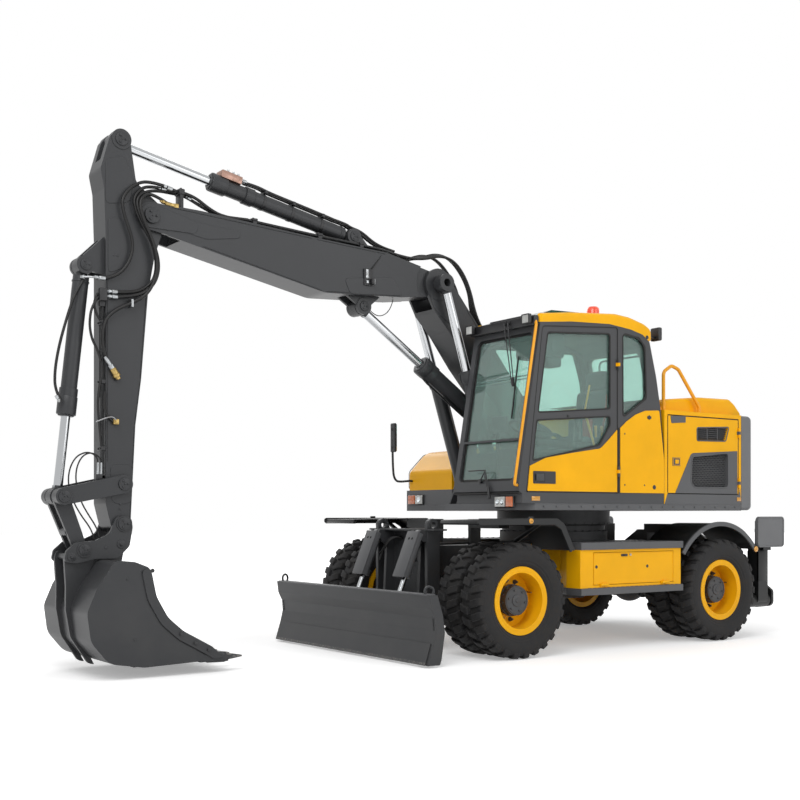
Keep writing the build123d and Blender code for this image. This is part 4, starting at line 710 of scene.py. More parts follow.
# ---------------------------------------------------------------- undercarriage
def trim_toolbox():
    bm = bmesh.new()
    box(bm, (205, 1228, 862), (286, 1237, 884), 3)
    box(bm, (222, 1235, 866), (262, 1246, 880), 3)
    piece(bm, "toolbox_latch", "toolbox", "shell")
    bm = bmesh.new()
    rod(bm, (166, 1228, 876), (166, 1238, 876), 11, sides=24, radius=1.5)
    box(bm, (162, 1237, 873), (170, 1241, 879), 0.6)
    piece(bm, "toolbox_key", "toolbox", "zinc")
    bm = bmesh.new()
    for x, z in ((600, 772), (-60, 764)):
        washer(bm, (x, 1229.5, z), (x, 1232, z), 15, 9, 24, 0.6)
        rod(bm, (x, 1229, z), (x, 1231, z), 9.5, sides=24)
    piece(bm, "toolbox_plugs", "toolbox", "shell")
    bm = bmesh.new()
    plate(bm, [(-416, 610), (636, 610), (636, 899), (-416, 899)], "y", 1230.4, 1233, 4, 0.8, hole=7)
    piece(bm, "toolbox_door_lip", "toolbox", "yellow")


def trim_undercarriage():
    bm = bmesh.new()
    for spot in circle_of(40, (0, 0, 1081), Z, 533):
        bolt(bm, spot, Z, 17)
    for spot in circle_of(36, (0, 0, 1162), Z, 571):
        out = Vector((spot.x, spot.y, 0)).normalized()
        rod(bm, spot + out * -3, spot + out * 3, 9, sides=6)
    piece(bm, "ring_bolts", "chassis", "iron")
    bm = bmesh.new()
    washer(bm, (0, 0, 1136), (0, 0, 1148), 529, 512, 72, 2)
    washer(bm, (0, 0, 962), (0, 0, 974), 556, 540, 72, 3)
    piece(bm, "ring_seal", "chassis", "seal")
    bm = bmesh.new()
    for x in range(-480, 780, 84):
        for y in (1085, 1135, 1185):
            if x < 700 or y < 1180:
                rod(bm, (x + (y % 100) * 0.4, y, 993), (x + (y % 100) * 0.4, y, 996.5), 11, 8, sides=10)
    mirrored(bm)
    piece(bm, "deck_grips", "chassis", "graphite")
    bm = bmesh.new()
    for x in range(-470, 700, 60):
        box(bm, (x, 1166, 580.6), (x + 34, 1240, 583.5), 1, 1)
    mirrored(bm)
    piece(bm, "step_grips", "chassis", "graphite")
    bm = bmesh.new()
    for x, z, r in ((-1631, 896, 30), (1392, 1190, 24)):
        rod(bm, (x, 1240, z), (x, 1247, z), r, r - 2, sides=32, radius=1.5)
        rod(bm, (x, 1246, z), (x, 1251, z), r * 0.82, r * 0.6, sides=32)
    mirrored(bm)
    piece(bm, "round_reflectors", "chassis", "reflector")
    bm = bmesh.new()
    for x, z in ((-1631, 896), (1392, 1190)):
        box(bm, (x - 30, 1226, z - 26), (x + 30, 1240, z + 40), 4)
        rod(bm, (x, 1250, z), (x, 1253, z), 5, sides=12)
    mirrored(bm)
    piece(bm, "reflector_brackets", "chassis", "black")
    bm = bmesh.new()
    for x in (FRONT_AXLE[0], REAR_AXLE[0]):
        for spot in circle_of(14, (x + 181, 0, 503), X, 120):
            bolt(bm, spot - X * 8, X, 15, False)
        for side in (1, -1):
            washer(bm, (x, 190 * side, 503), (x, 214 * side, 503), 136, 96, 40, 4)
            for spot in circle_of(12, (x, 214 * side, 503), Vector((0, side, 0)), 120):
                bolt(bm, spot, (0, side, 0), 14)
    piece(bm, "axle_flanges", "chassis", "iron")
    bm = bmesh.new()
    edge = [(877, 938), (1000, 1165), (1080, 1214), (1963, 1214), (1980, 1200), (1980, 1172), (1960, 1156), (1110, 1156), (1040, 1118), (925, 910)]
    plate(bm, edge, "y", 1224, 1241, 8, 3)
    rod(bm, (1950, 702, 1180), (1950, 1230, 1180), 22, sides=24, radius=6)
    rod(bm, (1240, 1180, 1170), (1240, 860, 1010), 22, sides=24, radius=4)
    mirrored(bm)
    piece(bm, "fender_rims", "chassis", "black")
    lines("brake_lines", [[(FRONT_AXLE[0] - 90, y * s, 600), (FRONT_AXLE[0] - 110, y * s * 0.6, 640), (1250, 250 * s, 680),
                           (1000, 300 * s, 700), (760, 345 * s, 860)] for s in (1, -1) for y in (500, 450)], 8, "chassis", "hose")
    lines("rear_brake_lines", [[(REAR_AXLE[0] + 60, y * s, 600), (-1000, y * s * 0.7, 660), (-900, 290 * s, 690), (-760, 320 * s, 850)]
                               for s in (1, -1) for y in (560, 500)], 8, "chassis", "hose")
    lines("swivel_hoses", [[(430 + 18 * i, 330 + 26 * i, 962), (470 + 18 * i, 350 + 26 * i, 1010), (600 + 14 * i, 330 + 20 * i, 1010),
                            (760, 290 + 16 * i, 985), (980, 250 + 14 * i, 985), (1350, 230 + 14 * i, 980), (1700, 215 + 14 * i, 975),
                            (1752, 210 + 14 * i, 968)] for i in range(4)], 10, "chassis", "hose")


def trim_blade():
    bm = bmesh.new()
    plate(bm, [(2464, 196), (2520, 22), (2530, 25), (2474, 199)], "y", -1236, 1236, radius=2)
    piece(bm, "blade_cutting_edge", "blade", "charcoal")
    bm = bmesh.new()
    plate(bm, [(2514, 21), (2532, 21), (2524, 46), (2507, 46)], "y", -1236, 1236, radius=1.5)
    piece(bm, "blade_worn_lip", "blade", "wear")
    bm = bmesh.new()
    box(bm, (2422, -1236, 586), (2508, 1236, 598), 3)
    piece(bm, "blade_top_plate", "blade", "graphite")
    bm = bmesh.new()
    for y in (304, 368):
        weld(bm, (2355, y, 225), (2418, y, 225), 4)
        weld(bm, (2355, y, 350), (2418, y, 350), 4)
    for y in (1238,):
        weld(bm, (2444, y, 300), (2452, y, 400), 3)
    mirrored(bm)
    piece(bm, "blade_welds", "blade", "charcoal")
    axis = Vector((0.388397, 0, -0.921492))
    out = Vector((0.921492, 0, 0.388397))
    lean = Matrix.Rotation(-0.3989, 4, "Y")
    guards, holes = bmesh.new(), bmesh.new()
    for lane in (336, -336):
        base = Vector((1935, lane, 1060))
        middle = base + axis * 210 + out * 70
        box(guards, middle - Vector((6, 86, 220)), middle + Vector((6, 86, 220)), 4, spin=lean)
        for y in (60, -60):
            rib = base + axis * 210 + out * 40 + Vector((0, y * 1.3, 0))
            box(guards, rib - Vector((26, 5, 214)), rib + Vector((26, 5, 214)), 3, spin=lean)
        # Dark discs on the guard plates: painted shade where the guards' holes are.
        for y in (-24, 24):
            spot = base + axis * 62 + out * 76 + Vector((0, y, 0))
            rod(holes, spot - out * 2, spot + out * 1, 12, sides=20)
    piece(guards, "blade_guards", "blade_barrel_pair", "graphite")
    bm = holes
    piece(bm, "guard_hole_shade_discs", "blade_barrel_pair", "dark")
    bm = bmesh.new()
    for y in (396, 340):
        rod(bm, (1850, y * 1.06, 430), (1850, y * 1.06 + 4, 430), 30, sides=28, radius=2)
        bolt(bm, (1850, y * 1.06 + 4, 430), Y, 20)
    for x, z, r in ((1839, 1150, 58),):
        washer(bm, (x, 416, z), (x, 424, z), r, 29, 36, 2)
        washer(bm, (x, 368, z), (x, 376, z), r, 29, 36, 2)
    weld(bm, (1765, 418, 1098), (1895, 418, 1098), 4)
    weld(bm, (1765, 374, 1118), (1895, 374, 1118), 4)
    mirrored(bm)
    piece(bm, "blade_bracket_bosses", "chassis", "charcoal")
    routes = []
    for side in (1, -1):
        for j in (0, 1):
            routes.append([(1792, (120 + 30 * j) * side, 1020), (1840, (130 + 30 * j) * side, 1050), (1890, (190 + 30 * j) * side, 1010),
                           (1925, (240 + 16 * j) * side, 930), (1935, 290 * side, 880 - 60 * j)])
    lines("blade_hoses", routes, 11, "chassis", "hose")


def trim_outriggers():
    for name, side in (("left", 1), ("right", -1)):
        bm = bmesh.new()
        for x in (-1925 - 62, -1775 + 62):
            out = Vector((-1 if x < -1850 else 1, 0, 0))
            washer(bm, (x, 1075 * side, 360), Vector((x, 1075 * side, 360)) + out * 8, 66, 36, 36, 2)
        for z in (460, 620, 780):
            weld(bm, (-1776, (1014 + (z - 330) * 0.02) * side, z), (-1776, (1014 + (z - 330) * 0.02) * side, z + 90), 3)
        box(bm, (-1925, min(1138 * side, 1162 * side), 560), (-1775, max(1138 * side, 1162 * side), 880), 4)
        piece(bm, f"{name}_leg_trim", f"{name}_outrigger", "black")
        bm = bmesh.new()
        for x in (-1990, -1760):
            for z in (960, 1170):
                bolt(bm, (x, 1205 * side, z), (0, -side, 0), 18)
        plate(bm, [(-2085, 912), (-1665, 912), (-1665, 1226), (-2085, 1226)], "y",
              min(1238 * side, 1243 * side), max(1238 * side, 1243 * side), 40, 2, hole=16)
        piece(bm, f"{name}_pad_rim", f"{name}_outrigger", "grey")
        lines(f"{name}_outrigger_hoses", [[(-1700, 230 * side, 985 - 20 * j), (-1745, 260 * side, 1020 - 20 * j),
                                           (-1800, 330 * side, 1010 - 24 * j), (-1840, 400 * side, 930 - 20 * j)] for j in (0, 1)],
              9, "chassis", "hose")
    bm = bmesh.new()
    for y in (-560, 560):
        weld(bm, (-1999, y, 560), (-1999, y, 900), 4)
    for y in (-300, 300):
        weld(bm, (-1701, y, 640), (-1701, y, 950), 4)
    for side in (1, -1):
        for y, z in ((1075, 360), (330, 880)):
            bolt(bm, (-2033, y * side, z), -X, 26)
            rod(bm, (-2030, y * side, z), (-2036, y * side, z), 46 if y > 500 else 34, sides=32, radius=2)
    piece(bm, "outrigger_pins", "chassis", "black")
    bm = bmesh.new()
    for side in (1, -1):
        box(bm, (-2044, 500 * side - 60, 700), (-2033, 500 * side + 60, 820), 5)
    piece(bm, "rear_lamp_shells", "chassis", "shell")
    bm = bmesh.new()
    for side in (1, -1):
        rod(bm, (-2044, 500 * side, 790), (-2050, 500 * side, 790), 24, 20, sides=28, radius=1)
    piece(bm, "rear_stop_lamps", "chassis", "red_lens")
    bm = bmesh.new()
    for side in (1, -1):
        rod(bm, (-2044, 500 * side, 732), (-2050, 500 * side, 732), 20, 17, sides=28, radius=1)
    piece(bm, "rear_turn_lamps", "chassis", "amber")


# ---------------------------------------------------------------- cab
def screen_at(y, z, out=0.0):
    """Point on the windscreen's outer face, some way off it."""
    x = GLASS_FOOT[0] + GLASS_LEAN * (z - GLASS_FOOT[1])
    return Vector((x + out, y, z + out * 0.1744))


def on_screen(bm):
    """Leans what was drawn upright at the windscreen's foot back along the glass."""
    lean = Matrix.Identity(4)
    lean[0][2] = GLASS_LEAN
    lean[0][3] = GLASS_FOOT[0] - GLASS_LEAN * GLASS_FOOT[1]
    bmesh.ops.transform(bm, matrix=lean, verts=bm.verts)


def fit_seals():
    bm = bmesh.new()
    for outline, corner in ((DOOR_UPPER, 36), (DOOR_LOWER, 32)):
        plate(bm, outline, "y", 1225, 1242.5, corner, 1.5, hole=15)
    piece(bm, "door_glass_seals", "cab_door_leaf", "seal")
    bm = bmesh.new()
    plate(bm, [(1455, 1439), (1268, 2898), (340, 2967), (340, 1439)], "y", 1238, 1246.5, 34, 1.5, hole=9)
    plate(bm, QUARTER, "y", 1228, 1247, 55, 1.5, hole=16)
    plate(bm, RIGHT_PANE, "y", 330, 350, 50, 1.5, hole=16)
    piece(bm, "side_seals", "upper", "seal")
    bm = bmesh.new()
    frame_line = [(397, 1540), (397, 2850), (1165, 2850), (1165, 1540)]
    plate(bm, frame_line, "x", -4, 7, 52, 1.5, hole=22)
    box(bm, (-3, 400, 1890), (5, 1162, 1914), 2)
    on_screen(bm)
    piece(bm, "windscreen_seal", "upper", "seal")
    bm = bmesh.new()
    plate(bm, [(445, 2330), (445, 2780), (1135, 2780), (1135, 2330)], "x", -215, -200, 55, 1.5, hole=18)
    piece(bm, "rear_pane_seal", "upper", "seal")
    bm = bmesh.new()
    box(bm, (1497, 340, 1428), (1538, 1243, 1440), 2)
    box(bm, (318, 1238, 1442), (340, 1249, 2044), 2)
    piece(bm, "cab_foot_seal", "upper", "seal")
    lines("panel_seams", [[(-272, 1246.4, 1450), (-272, 1246.4, 1800), (-245, 1246.4, 2050), (-203, 1246.4, 2230)]], 3, "upper", "seal")


def fit_blind():
    """Rolled sun blind with its two pull rails behind the windscreen."""
    bm = bmesh.new()
    for z, drop in ((2466, 0), (2438, 0)):
        p, q = screen_at(415, z, -24), screen_at(1150, z + 10, -24)
        rod(bm, p, q, 5.5, sides=14)
    piece(bm, "blind_rails", "upper", "zinc")
    bm = bmesh.new()
    rod(bm, screen_at(410, 2830, -52), screen_at(1155, 2830, -52), 26, sides=28, radius=4)
    piece(bm, "blind_roll", "upper", "cloth")
    bm = bmesh.new()
    box(bm, (930, 820, 2640), (1215, 1172, 2858), 28, 4)
    box(bm, (960, 1000, 2560), (1120, 1165, 2650), 24, 4)
    rod(bm, (1040, 1172, 2740), (1040, 1178, 2740), 60, sides=36, radius=3)
    piece(bm, "ceiling_unit", "upper", "trim")


def fit_wipers():
    bm = bmesh.new()
    for y in (850, 902):
        rod(bm, (1352, y, 2952), (1366, y, 2952), 17, sides=20, radius=2)
        rod(bm, (1364, y, 2952), (1372, y, 2952), 10, sides=20, radius=2)
    top = [(1370, 850, 2952), (1370, 902, 2952)]
    low = [screen_at(972, 2395, 30), screen_at(998, 2395, 30)]
    for p, q in zip(top, low):
        p, q = Vector(p), Vector(q)
        rod(bm, p, p.lerp(q, 0.25), 8, 7, sides=10, radius=1)
        rod(bm, p.lerp(q, 0.23), q, 5.5, 4.5, sides=10, radius=1)
    rod(bm, low[0], low[1], 7, sides=10)
    box(bm, low[0] + Vector((-14, 4, -22)), low[0] + Vector((8, 24, 60)), 4)
    piece(bm, "wiper_arms", "upper", "shell")
    bm = bmesh.new()
    p, q = screen_at(990, 2650, 12), screen_at(1010, 2090, 12)
    rod(bm, p, q, 7, sides=8, radius=1)
    rod(bm, screen_at(990, 2640, 5), screen_at(1010, 2100, 5), 3.5, sides=6)
    piece(bm, "wiper_blade", "upper", "seal")
    bm = bmesh.new()
    hub = Vector((1538, 735, 1545))
    rod(bm, hub - X * 8, hub + X * 22, 20, sides=24, radius=3)
    elbow = Vector((1541, 800, 1640))
    rod(bm, hub + X * 14, elbow, 6, sides=10, radius=1)
    rod(bm, elbow, Vector((1541, 560, 1640)), 6, sides=10, radius=1)
    foot = Vector((1556, 872, 1385))
    rod(bm, Vector((1550, 800, 1640)), Vector((1556, 862, 1470)), 5, sides=10, radius=1)
    rod(bm, Vector((1550, 792, 1610)), foot, 5, sides=10, radius=1)
    rod(bm, Vector((1554, 852, 1490)), foot, 13, sides=12, radius=3)
    piece(bm, "lower_wiper", "upper", "shell")


def fit_door_handle():
    bm = bmesh.new()
    plate(bm, [(1115, 1516), (1377, 1516), (1377, 1625), (1115, 1625)], "y", 1247.6, 1252, 8, 1.2)
    plate(bm, [(1240, 1524), (1369, 1524), (1369, 1617), (1240, 1617)], "y", 1251.5, 1254, 6, 1, hole=6)
    piece(bm, "handle_plate", "cab_door_leaf", "shell")
    bm = bmesh.new()
    box(bm, (1258, 1252, 1540), (1276, 1262, 1602), 4)
    box(bm, (1258, 1258, 1540), (1352, 1266, 1602), 5)
    rod(bm, (1320, 1264, 1571), (1320, 1269, 1571), 9, sides=20, radius=1)
    piece(bm, "door_handle", "cab_door_leaf", "trim")
    bm = bmesh.new()
    box(bm, (900, 1190, 2112), (1010, 1236, 2136), 5)
    box(bm, (940, 1236, 2108), (972, 1248, 2134), 4)
    piece(bm, "pane_latch", "cab_door_leaf", "shell")
    bm = bmesh.new()
    rod(bm, (-61, 1251, 2155), (-61, 1258, 2155), 22, sides=6, radius=2)
    box(bm, (-88, 1252, 2144), (-34, 1257, 2166), 4)
    rod(bm, (-131, 1251.5, 1503), (-131, 1256, 1503), 21, sides=28, radius=2)
    piece(bm, "panel_plugs", "upper", "shell")
    bm = bmesh.new()
    rod(bm, (-40, 1244, 2905), (-40, 1250, 2905), 18, sides=24, radius=2)
    for x, z in ((0, 1520), (260, 1520), (260, 1990)):
        rod(bm, (x, 1251, z), (x, 1254, z), 8, sides=16, radius=1)
    piece(bm, "panel_screws", "upper", "shell")


def fit_lamps():
    """Roof beam, work lamps, headlights and tail lamp, in place of the plain fittings."""
    bm = bmesh.new()
    box(bm, (1297, 345, 2897), (1350, 1235, 2984), 10, 3)
    box(bm, (1300, 620, 2980), (1345, 1120, 2998), 5)
    for y in (385, 1170):
        box(bm, (1350, y - 22, 2928), (1372, y + 22, 2962), 4)
        box(bm, (1366, y - 50, 2907), (1394, y + 50, 2993), 8, 3)
        plate(bm, [(y - 50, 2907), (y + 50, 2907), (y + 50, 2993), (y - 50, 2993)], "x", 1392, 1402, 8, 1.5, hole=8)
    box(bm, (-240, 1132, 2922), (-118, 1158, 2948), 5)
    box(bm, (-298, 1087, 2902), (-250, 1203, 3028), 14, 3)
    for lo, hi in (((1500, 900, 1306), (1520, 1152, 1410)), ((950, -1200, 1349), (966, -930, 1454))):
        box(bm, lo, hi, 7, 3)
    piece(bm, "lamp_shells", "upper", "shell", slot="black_paint", replaces=["cab_fittings"])
    bm = bmesh.new()
    for y in (385, 1170):
        plate(bm, [(y - 42, 2915), (y + 42, 2915), (y + 42, 2985), (y - 42, 2985)], "x", 1393, 1399, 6, 1)
    box(bm, (1518, 910, 1314), (1530, 1046, 1403), 4, 3)
    box(bm, (964, -1060, 1357), (975, -940, 1447), 4, 3)
    piece(bm, "lamp_lenses", "upper", "clear")
    bm = bmesh.new()
    for y, z in ((946, 1358), (1008, 1358)):
        rod(bm, (1529, y, z), (1533, y, z), 26, 20, sides=28, radius=1)
    rod(bm, (974, -1000, 1402), (978, -1000, 1402), 30, 24, sides=28, radius=1)
    piece(bm, "lamp_bulbs", "upper", "mirror")
    bm = bmesh.new()
    box(bm, (1518, 1059, 1314), (1530, 1146, 1403), 4, 3)
    box(bm, (964, -1192, 1357), (975, -1072, 1447), 4, 3)
    piece(bm, "turn_lenses", "upper", "amber")
    bm = bmesh.new()
    box(bm, (-302, 1098, 2914), (-296, 1192, 3016), 3)
    piece(bm, "rear_work_lens", "upper", "clear")
    bm = bmesh.new()
    box(bm, (1296, 1246, 1367), (1392, 1248.5, 1405), 2)
    box(bm, (-1390, 1246, 1380), (-1330, 1248.5, 1418), 2)
    piece(bm, "side_reflectors", "upper", "reflector")


def fit_beacon():
    bm = bmesh.new()
    rod(bm, (212, 790, 3082), (212, 790, 3106), 74, 70, sides=40, radius=4)
    for spot in circle_of(4, (212, 790, 3104), Z, 66):
        rod(bm, spot, spot + Z * 5, 5, sides=10)
    piece(bm, "beacon_base", "upper", "shell")
    bm = bmesh.new()
    section = [Vector((212 + r, 790, z)) for r, z in ((50, 3105), (61, 3105), (61, 3190), (57, 3215), (42, 3230), (14, 3234.5), (10, 3228), (36, 3222), (50, 3208), (54, 3188))]
    ring(bm, section, (212, 790, 3100), Z, 48)
    rod(bm, (212, 790, 3226), (212, 790, 3234), 12, sides=24, radius=1)
    piece(bm, "beacon_dome", "upper", "beacon", smooth=60)
    bm = bmesh.new()
    rod(bm, (212, 790, 3104), (212, 790, 3190), 26, 20, sides=24, radius=4)
    piece(bm, "beacon_lamp", "upper", "red_lens")


def fit_rails():
    """Grab bar by the door and the mirror on its arm."""
    grab = [(1325, 1222, 2935), (1340, 1250, 2905), (1352, 1254, 2860), (1470, 1254, 2200), (1585, 1254, 1560), (1588, 1250, 1515),
            (1575, 1236, 1500), (1537, 1225, 1500)]
    lines("grab_bar", [grab], 13, "upper", "rail")
    lines("mirror_arm", [[(946, -1150, 1600), (985, -1150, 1602), (1060, -1195, 1592), (1110, -1228, 1600), (1145, -1230, 1700),
                          (1145, -1230, 2040)]], 12, "upper", "shell")
    bm = bmesh.new()
    box(bm, (1124, -1266, 1902), (1152, -1180, 2208), 12, 3)
    rod(bm, (1145, -1230, 1940), (1145, -1230, 1966), 19, sides=20, radius=2)
    rod(bm, (1145, -1230, 2130), (1145, -1230, 2156), 19, sides=20, radius=2)
    piece(bm, "mirror_shell", "upper", "shell")
    bm = bmesh.new()
    plate(bm, [(-1260, 1910), (-1186, 1910), (-1186, 2200), (-1260, 2200)], "x", 1118, 1125, 10, 1.5)
    piece(bm, "mirror_pane", "upper", "mirror")


def fit_seat():
    """Suspension seat with its cushions, arm rests, joysticks and belt."""
    y = 790
    bm = bmesh.new()
    box(bm, (255, y - 175, 1432), (695, y + 175, 1560), 20, 3)
    for i in range(5):
        box(bm, (265, y - 165, 1560 + 26 * i), (685, y + 165, 1580 + 26 * i), 9, 3)
    box(bm, (235, y - 215, 1690), (700, y + 215, 1722), 12, 3)
    for s in (1, -1):
        box(bm, (255, y + s * 306 - 42, 1432), (755, y + s * 306 + 42, 1905), 26, 4)
        box(bm, (300, y + s * 306 - 48, 1900), (690, y + s * 306 + 48, 1958), 20, 4)
        rod(bm, (690, y + s * 306, 1930), (700, y + s * 306, 2010), 22, 15, sides=20, radius=3)
        rod(bm, (700, y + s * 306, 2000), (715, y + s * 306, 2120), 20, 27, sides=24, radius=8)
    piece(bm, "seat_base_and_consoles", "upper", "trim", slot="cab_trim", replaces=["operator_station"])
    for name, lo, hi, lean in (("seat_cushion", (225, y - 235, 1720), (735, y + 235, 1850), 0.0),
                               ("seat_back", (175, y - 230, 1838), (290, y + 230, 2420), -0.12),
                               ("head_rest", (118, y - 130, 2432), (205, y + 130, 2606), -0.12)):
        bm = bmesh.new()
        box(bm, lo, hi, 36, 4)
        bmesh.ops.subdivide_edges(bm, edges=bm.edges[:], cuts=2, use_grid_fill=True)
        centre = (Vector(lo) + Vector(hi)) / 2
        if lean:
            bmesh.ops.rotate(bm, cent=(lo[0], y, lo[2]), matrix=Matrix.Rotation(lean, 3, "Y"), verts=bm.verts)
        for vert in bm.verts:
            across = (vert.co.y - y) / (hi[1] - y)
            vert.co += vert.normal * 10 * (1 - min(1.0, abs(across))) - vert.normal * 7 * max(0.0, 1 - abs(abs(across) - 0.62) * 12)
        bmesh.ops.smooth_vert(bm, verts=bm.verts, factor=0.4, use_axis_x=True, use_axis_y=True, use_axis_z=True)
        made = piece(bm, name, "upper", "cloth", smooth=80)
    lines("seat_belt", [[(300, y + 250, 1860), (360, y + 262, 2010), (270, y + 230, 2200), (215, y + 190, 2380)]], 11, "upper", "red")
    bm = bmesh.new()
    box(bm, (560, y + 262, 1930), (610, y + 352, 2120), 8)
    piece(bm, "safety_lever", "upper", "red")
    bm = bmesh.new()
    for x in (420, 500):
        rod(bm, (x, y + 330, 1950), (x + 20, y + 345, 2060), 9, 14, sides=16, radius=4)
    piece(bm, "console_switches", "upper", "rail")


def fit_controls():
    y = 790
    bm = bmesh.new()
    section = [Vector((1000 + 190 + math.cos(a) * 15, y, 2030 + math.sin(a) * 15)) for a in (0, 0.79, 1.57, 2.36, 3.14, 3.93, 4.71, 5.5)]
    ring(bm, section, (1000, y, 2030), Z, 56)
    for spin in (0.0, 2.09, 4.19):
        arm = bmesh.ops.create_cube(bm, size=1.0)["verts"]
        place = Matrix.Translation((1000, y, 2030)) @ Matrix.Rotation(spin, 4, "Z") @ Matrix.Translation((95, 0, 0)) @ Matrix.Diagonal((180, 30, 13, 1))
        bmesh.ops.transform(bm, matrix=place, verts=arm)
        soften(bm, arm, 5)
    rod(bm, (1000, y, 2015), (1000, y, 2048), 42, 34, sides=32, radius=5)
    bmesh.ops.rotate(bm, cent=(1000, y, 2030), matrix=Matrix.Rotation(-0.38, 3, "Y"), verts=bm.verts)
    rod(bm, (1175, y, 1436), (1015, y, 2005), 46, 36, sides=32, radius=4)
    box(bm, (1010, y - 70, 1820), (1110, y + 70, 1960), 22, 3)
    for s in (60, 150):
        box(bm, (1290, y - s - 40, 1436), (1420, y - s + 30, 1530), 8)
    piece(bm, "steering_column", "upper", "trim")
    bm = bmesh.new()
    box(bm, (1122, 415, 2002), (1160, 625, 2158), 12, 3)
    rod(bm, (1140, 495, 1434), (1140, 495, 2006), 18, sides=20, radius=2)
    box(bm, (700, 393, 1434), (1200, 440, 1700), 20, 3)
    box(bm, (-60, 395, 1436), (180, 1185, 2180), 30, 4)
    piece(bm, "monitor_and_side_trim", "upper", "trim")
    bm = bmesh.new()
    plate(bm, [(425, 2014), (615, 2014), (615, 2148), (425, 2148)], "x", 1117, 1122.5, 8, 1)
    piece(bm, "monitor_screen", "upper", "dark")
    bm = bmesh.new()
    plate(bm, [(215, 392), (1470, 392), (1470, 1188), (215, 1188)], "z", 1430.6, 1437, 20, 1.5)
    piece(bm, "floor_mat", "upper", "step")
    bm = bmesh.new()
    rod(bm, (560, 1176, 1830), (700, 1180, 2180), 11, sides=14, radius=2)
    rod(bm, (700, 1180, 2180), (640, 1180, 2420), 9, sides=14, radius=2)
    piece(bm, "inner_handle", "cab_door_leaf", "rail")


# ---------------------------------------------------------------- engine bay and tail
def mesh_panel(bm, outline, y, pitch, thick):
    """Sheet with six-sided holes: cells inside the outline, each cut out to a border."""
    lo = Vector((min(p[0] for p in outline), min(p[1] for p in outline)))
    hi = Vector((max(p[0] for p in outline), max(p[1] for p in outline)))
    rows = int((hi.y - lo.y) / (pitch * 0.866)) + 1
    columns = int((hi.x - lo.x) / pitch) + 1
    for i in range(rows):
        for j in range(columns):
            centre = Vector((lo.x + (j + 0.5 * (i % 2)) * pitch, 0, lo.y + i * pitch * 0.866))
            place = Matrix.Translation((centre.x, y, centre.z)) @ Matrix.Rotation(math.pi / 2, 4, "X") @ Matrix.Rotation(math.pi / 6, 4, "Z")
            bmesh.ops.create_circle(bm, cap_ends=True, segments=6, radius=pitch * 0.5774, matrix=place)
    bmesh.ops.remove_doubles(bm, verts=bm.verts, dist=0.5)
    cells = bm.faces[:]
    bmesh.ops.inset_individual(bm, faces=cells, thickness=pitch * 0.13, use_even_offset=True)
    bmesh.ops.delete(bm, geom=cells, context="FACES")
    made = bmesh.ops.extrude_face_region(bm, geom=bm.faces[:])["geom"]
    top = [v for v in made if isinstance(v, bmesh.types.BMVert)]
    bmesh.ops.translate(bm, vec=(0, thick, 0), verts=top)
    bmesh.ops.recalc_face_normals(bm, faces=bm.faces)


def trim_engine_side(sizes):
    for name, side in (("left", 1), ("right", -1)):
        body = f"{name}_engine_cover"
        flip = side < 0

        def done(bm, label, finish, smooth=35):
            if flip:
                bmesh.ops.scale(bm, vec=(1, -1, 1), verts=bm.verts)
                bmesh.ops.reverse_faces(bm, faces=bm.faces)
            piece(bm, f"{name}_{label}", body, finish, smooth)

        bm = bmesh.new()
        mesh_panel(bm, [(-1195, 1508), (-645, 1852)], 1214, sizes.mesh_pitch / MM, 4)
        done(bm, "grille_mesh", "grey", 20)
        bm = bmesh.new()
        for i in range(7):
            z = 1975 + 20 * i
            box(bm, (-1204, 1207, z), (-736, 1236, z + 4), 1.2, 1, spin=Matrix.Rotation(0.55, 4, "X"))
        for x in (-1050, -900):
            box(bm, (x, 1206, 1965), (x + 8, 1236, 2110), 1)
        done(bm, "louvre_slats", "graphite")
        bm = bmesh.new()
        plate(bm, LOWER_GRILLE, "y", 1246, 1254, 26, 2, hole=-13)
        plate(bm, UPPER_GRILLE, "y", 1243, 1250, 14, 2, hole=-11)
        done(bm, "grille_frames", "graphite")
        bm = bmesh.new()
        plate(bm, [(-361, 2186), (-572, 2196), (-572, 2132), (-372, 2118)], "y", 1245, 1249, 6, 1)
        box(bm, (-498, 1245, 1712), (-388, 1248, 1792), 3)
        done(bm, "blank_plates", "graphite")
        bm = bmesh.new()
        plate(bm, [(-494, 1716), (-392, 1716), (-392, 1788), (-494, 1788)], "y", 1248, 1251, 6, 1, hole=5)
        box(bm, (-470, 1248, 1732), (-420, 1257, 1772), 5)
        done(bm, "door_latch", "yellow")
        bm = bmesh.new()
        plate(bm, [(-1350, 1447), (-323, 1447), (-323, 2195), (-1350, 2195)], "y", 1238, 1246, 12, 1, hole=6)
        done(bm, "door_seal", "seal")


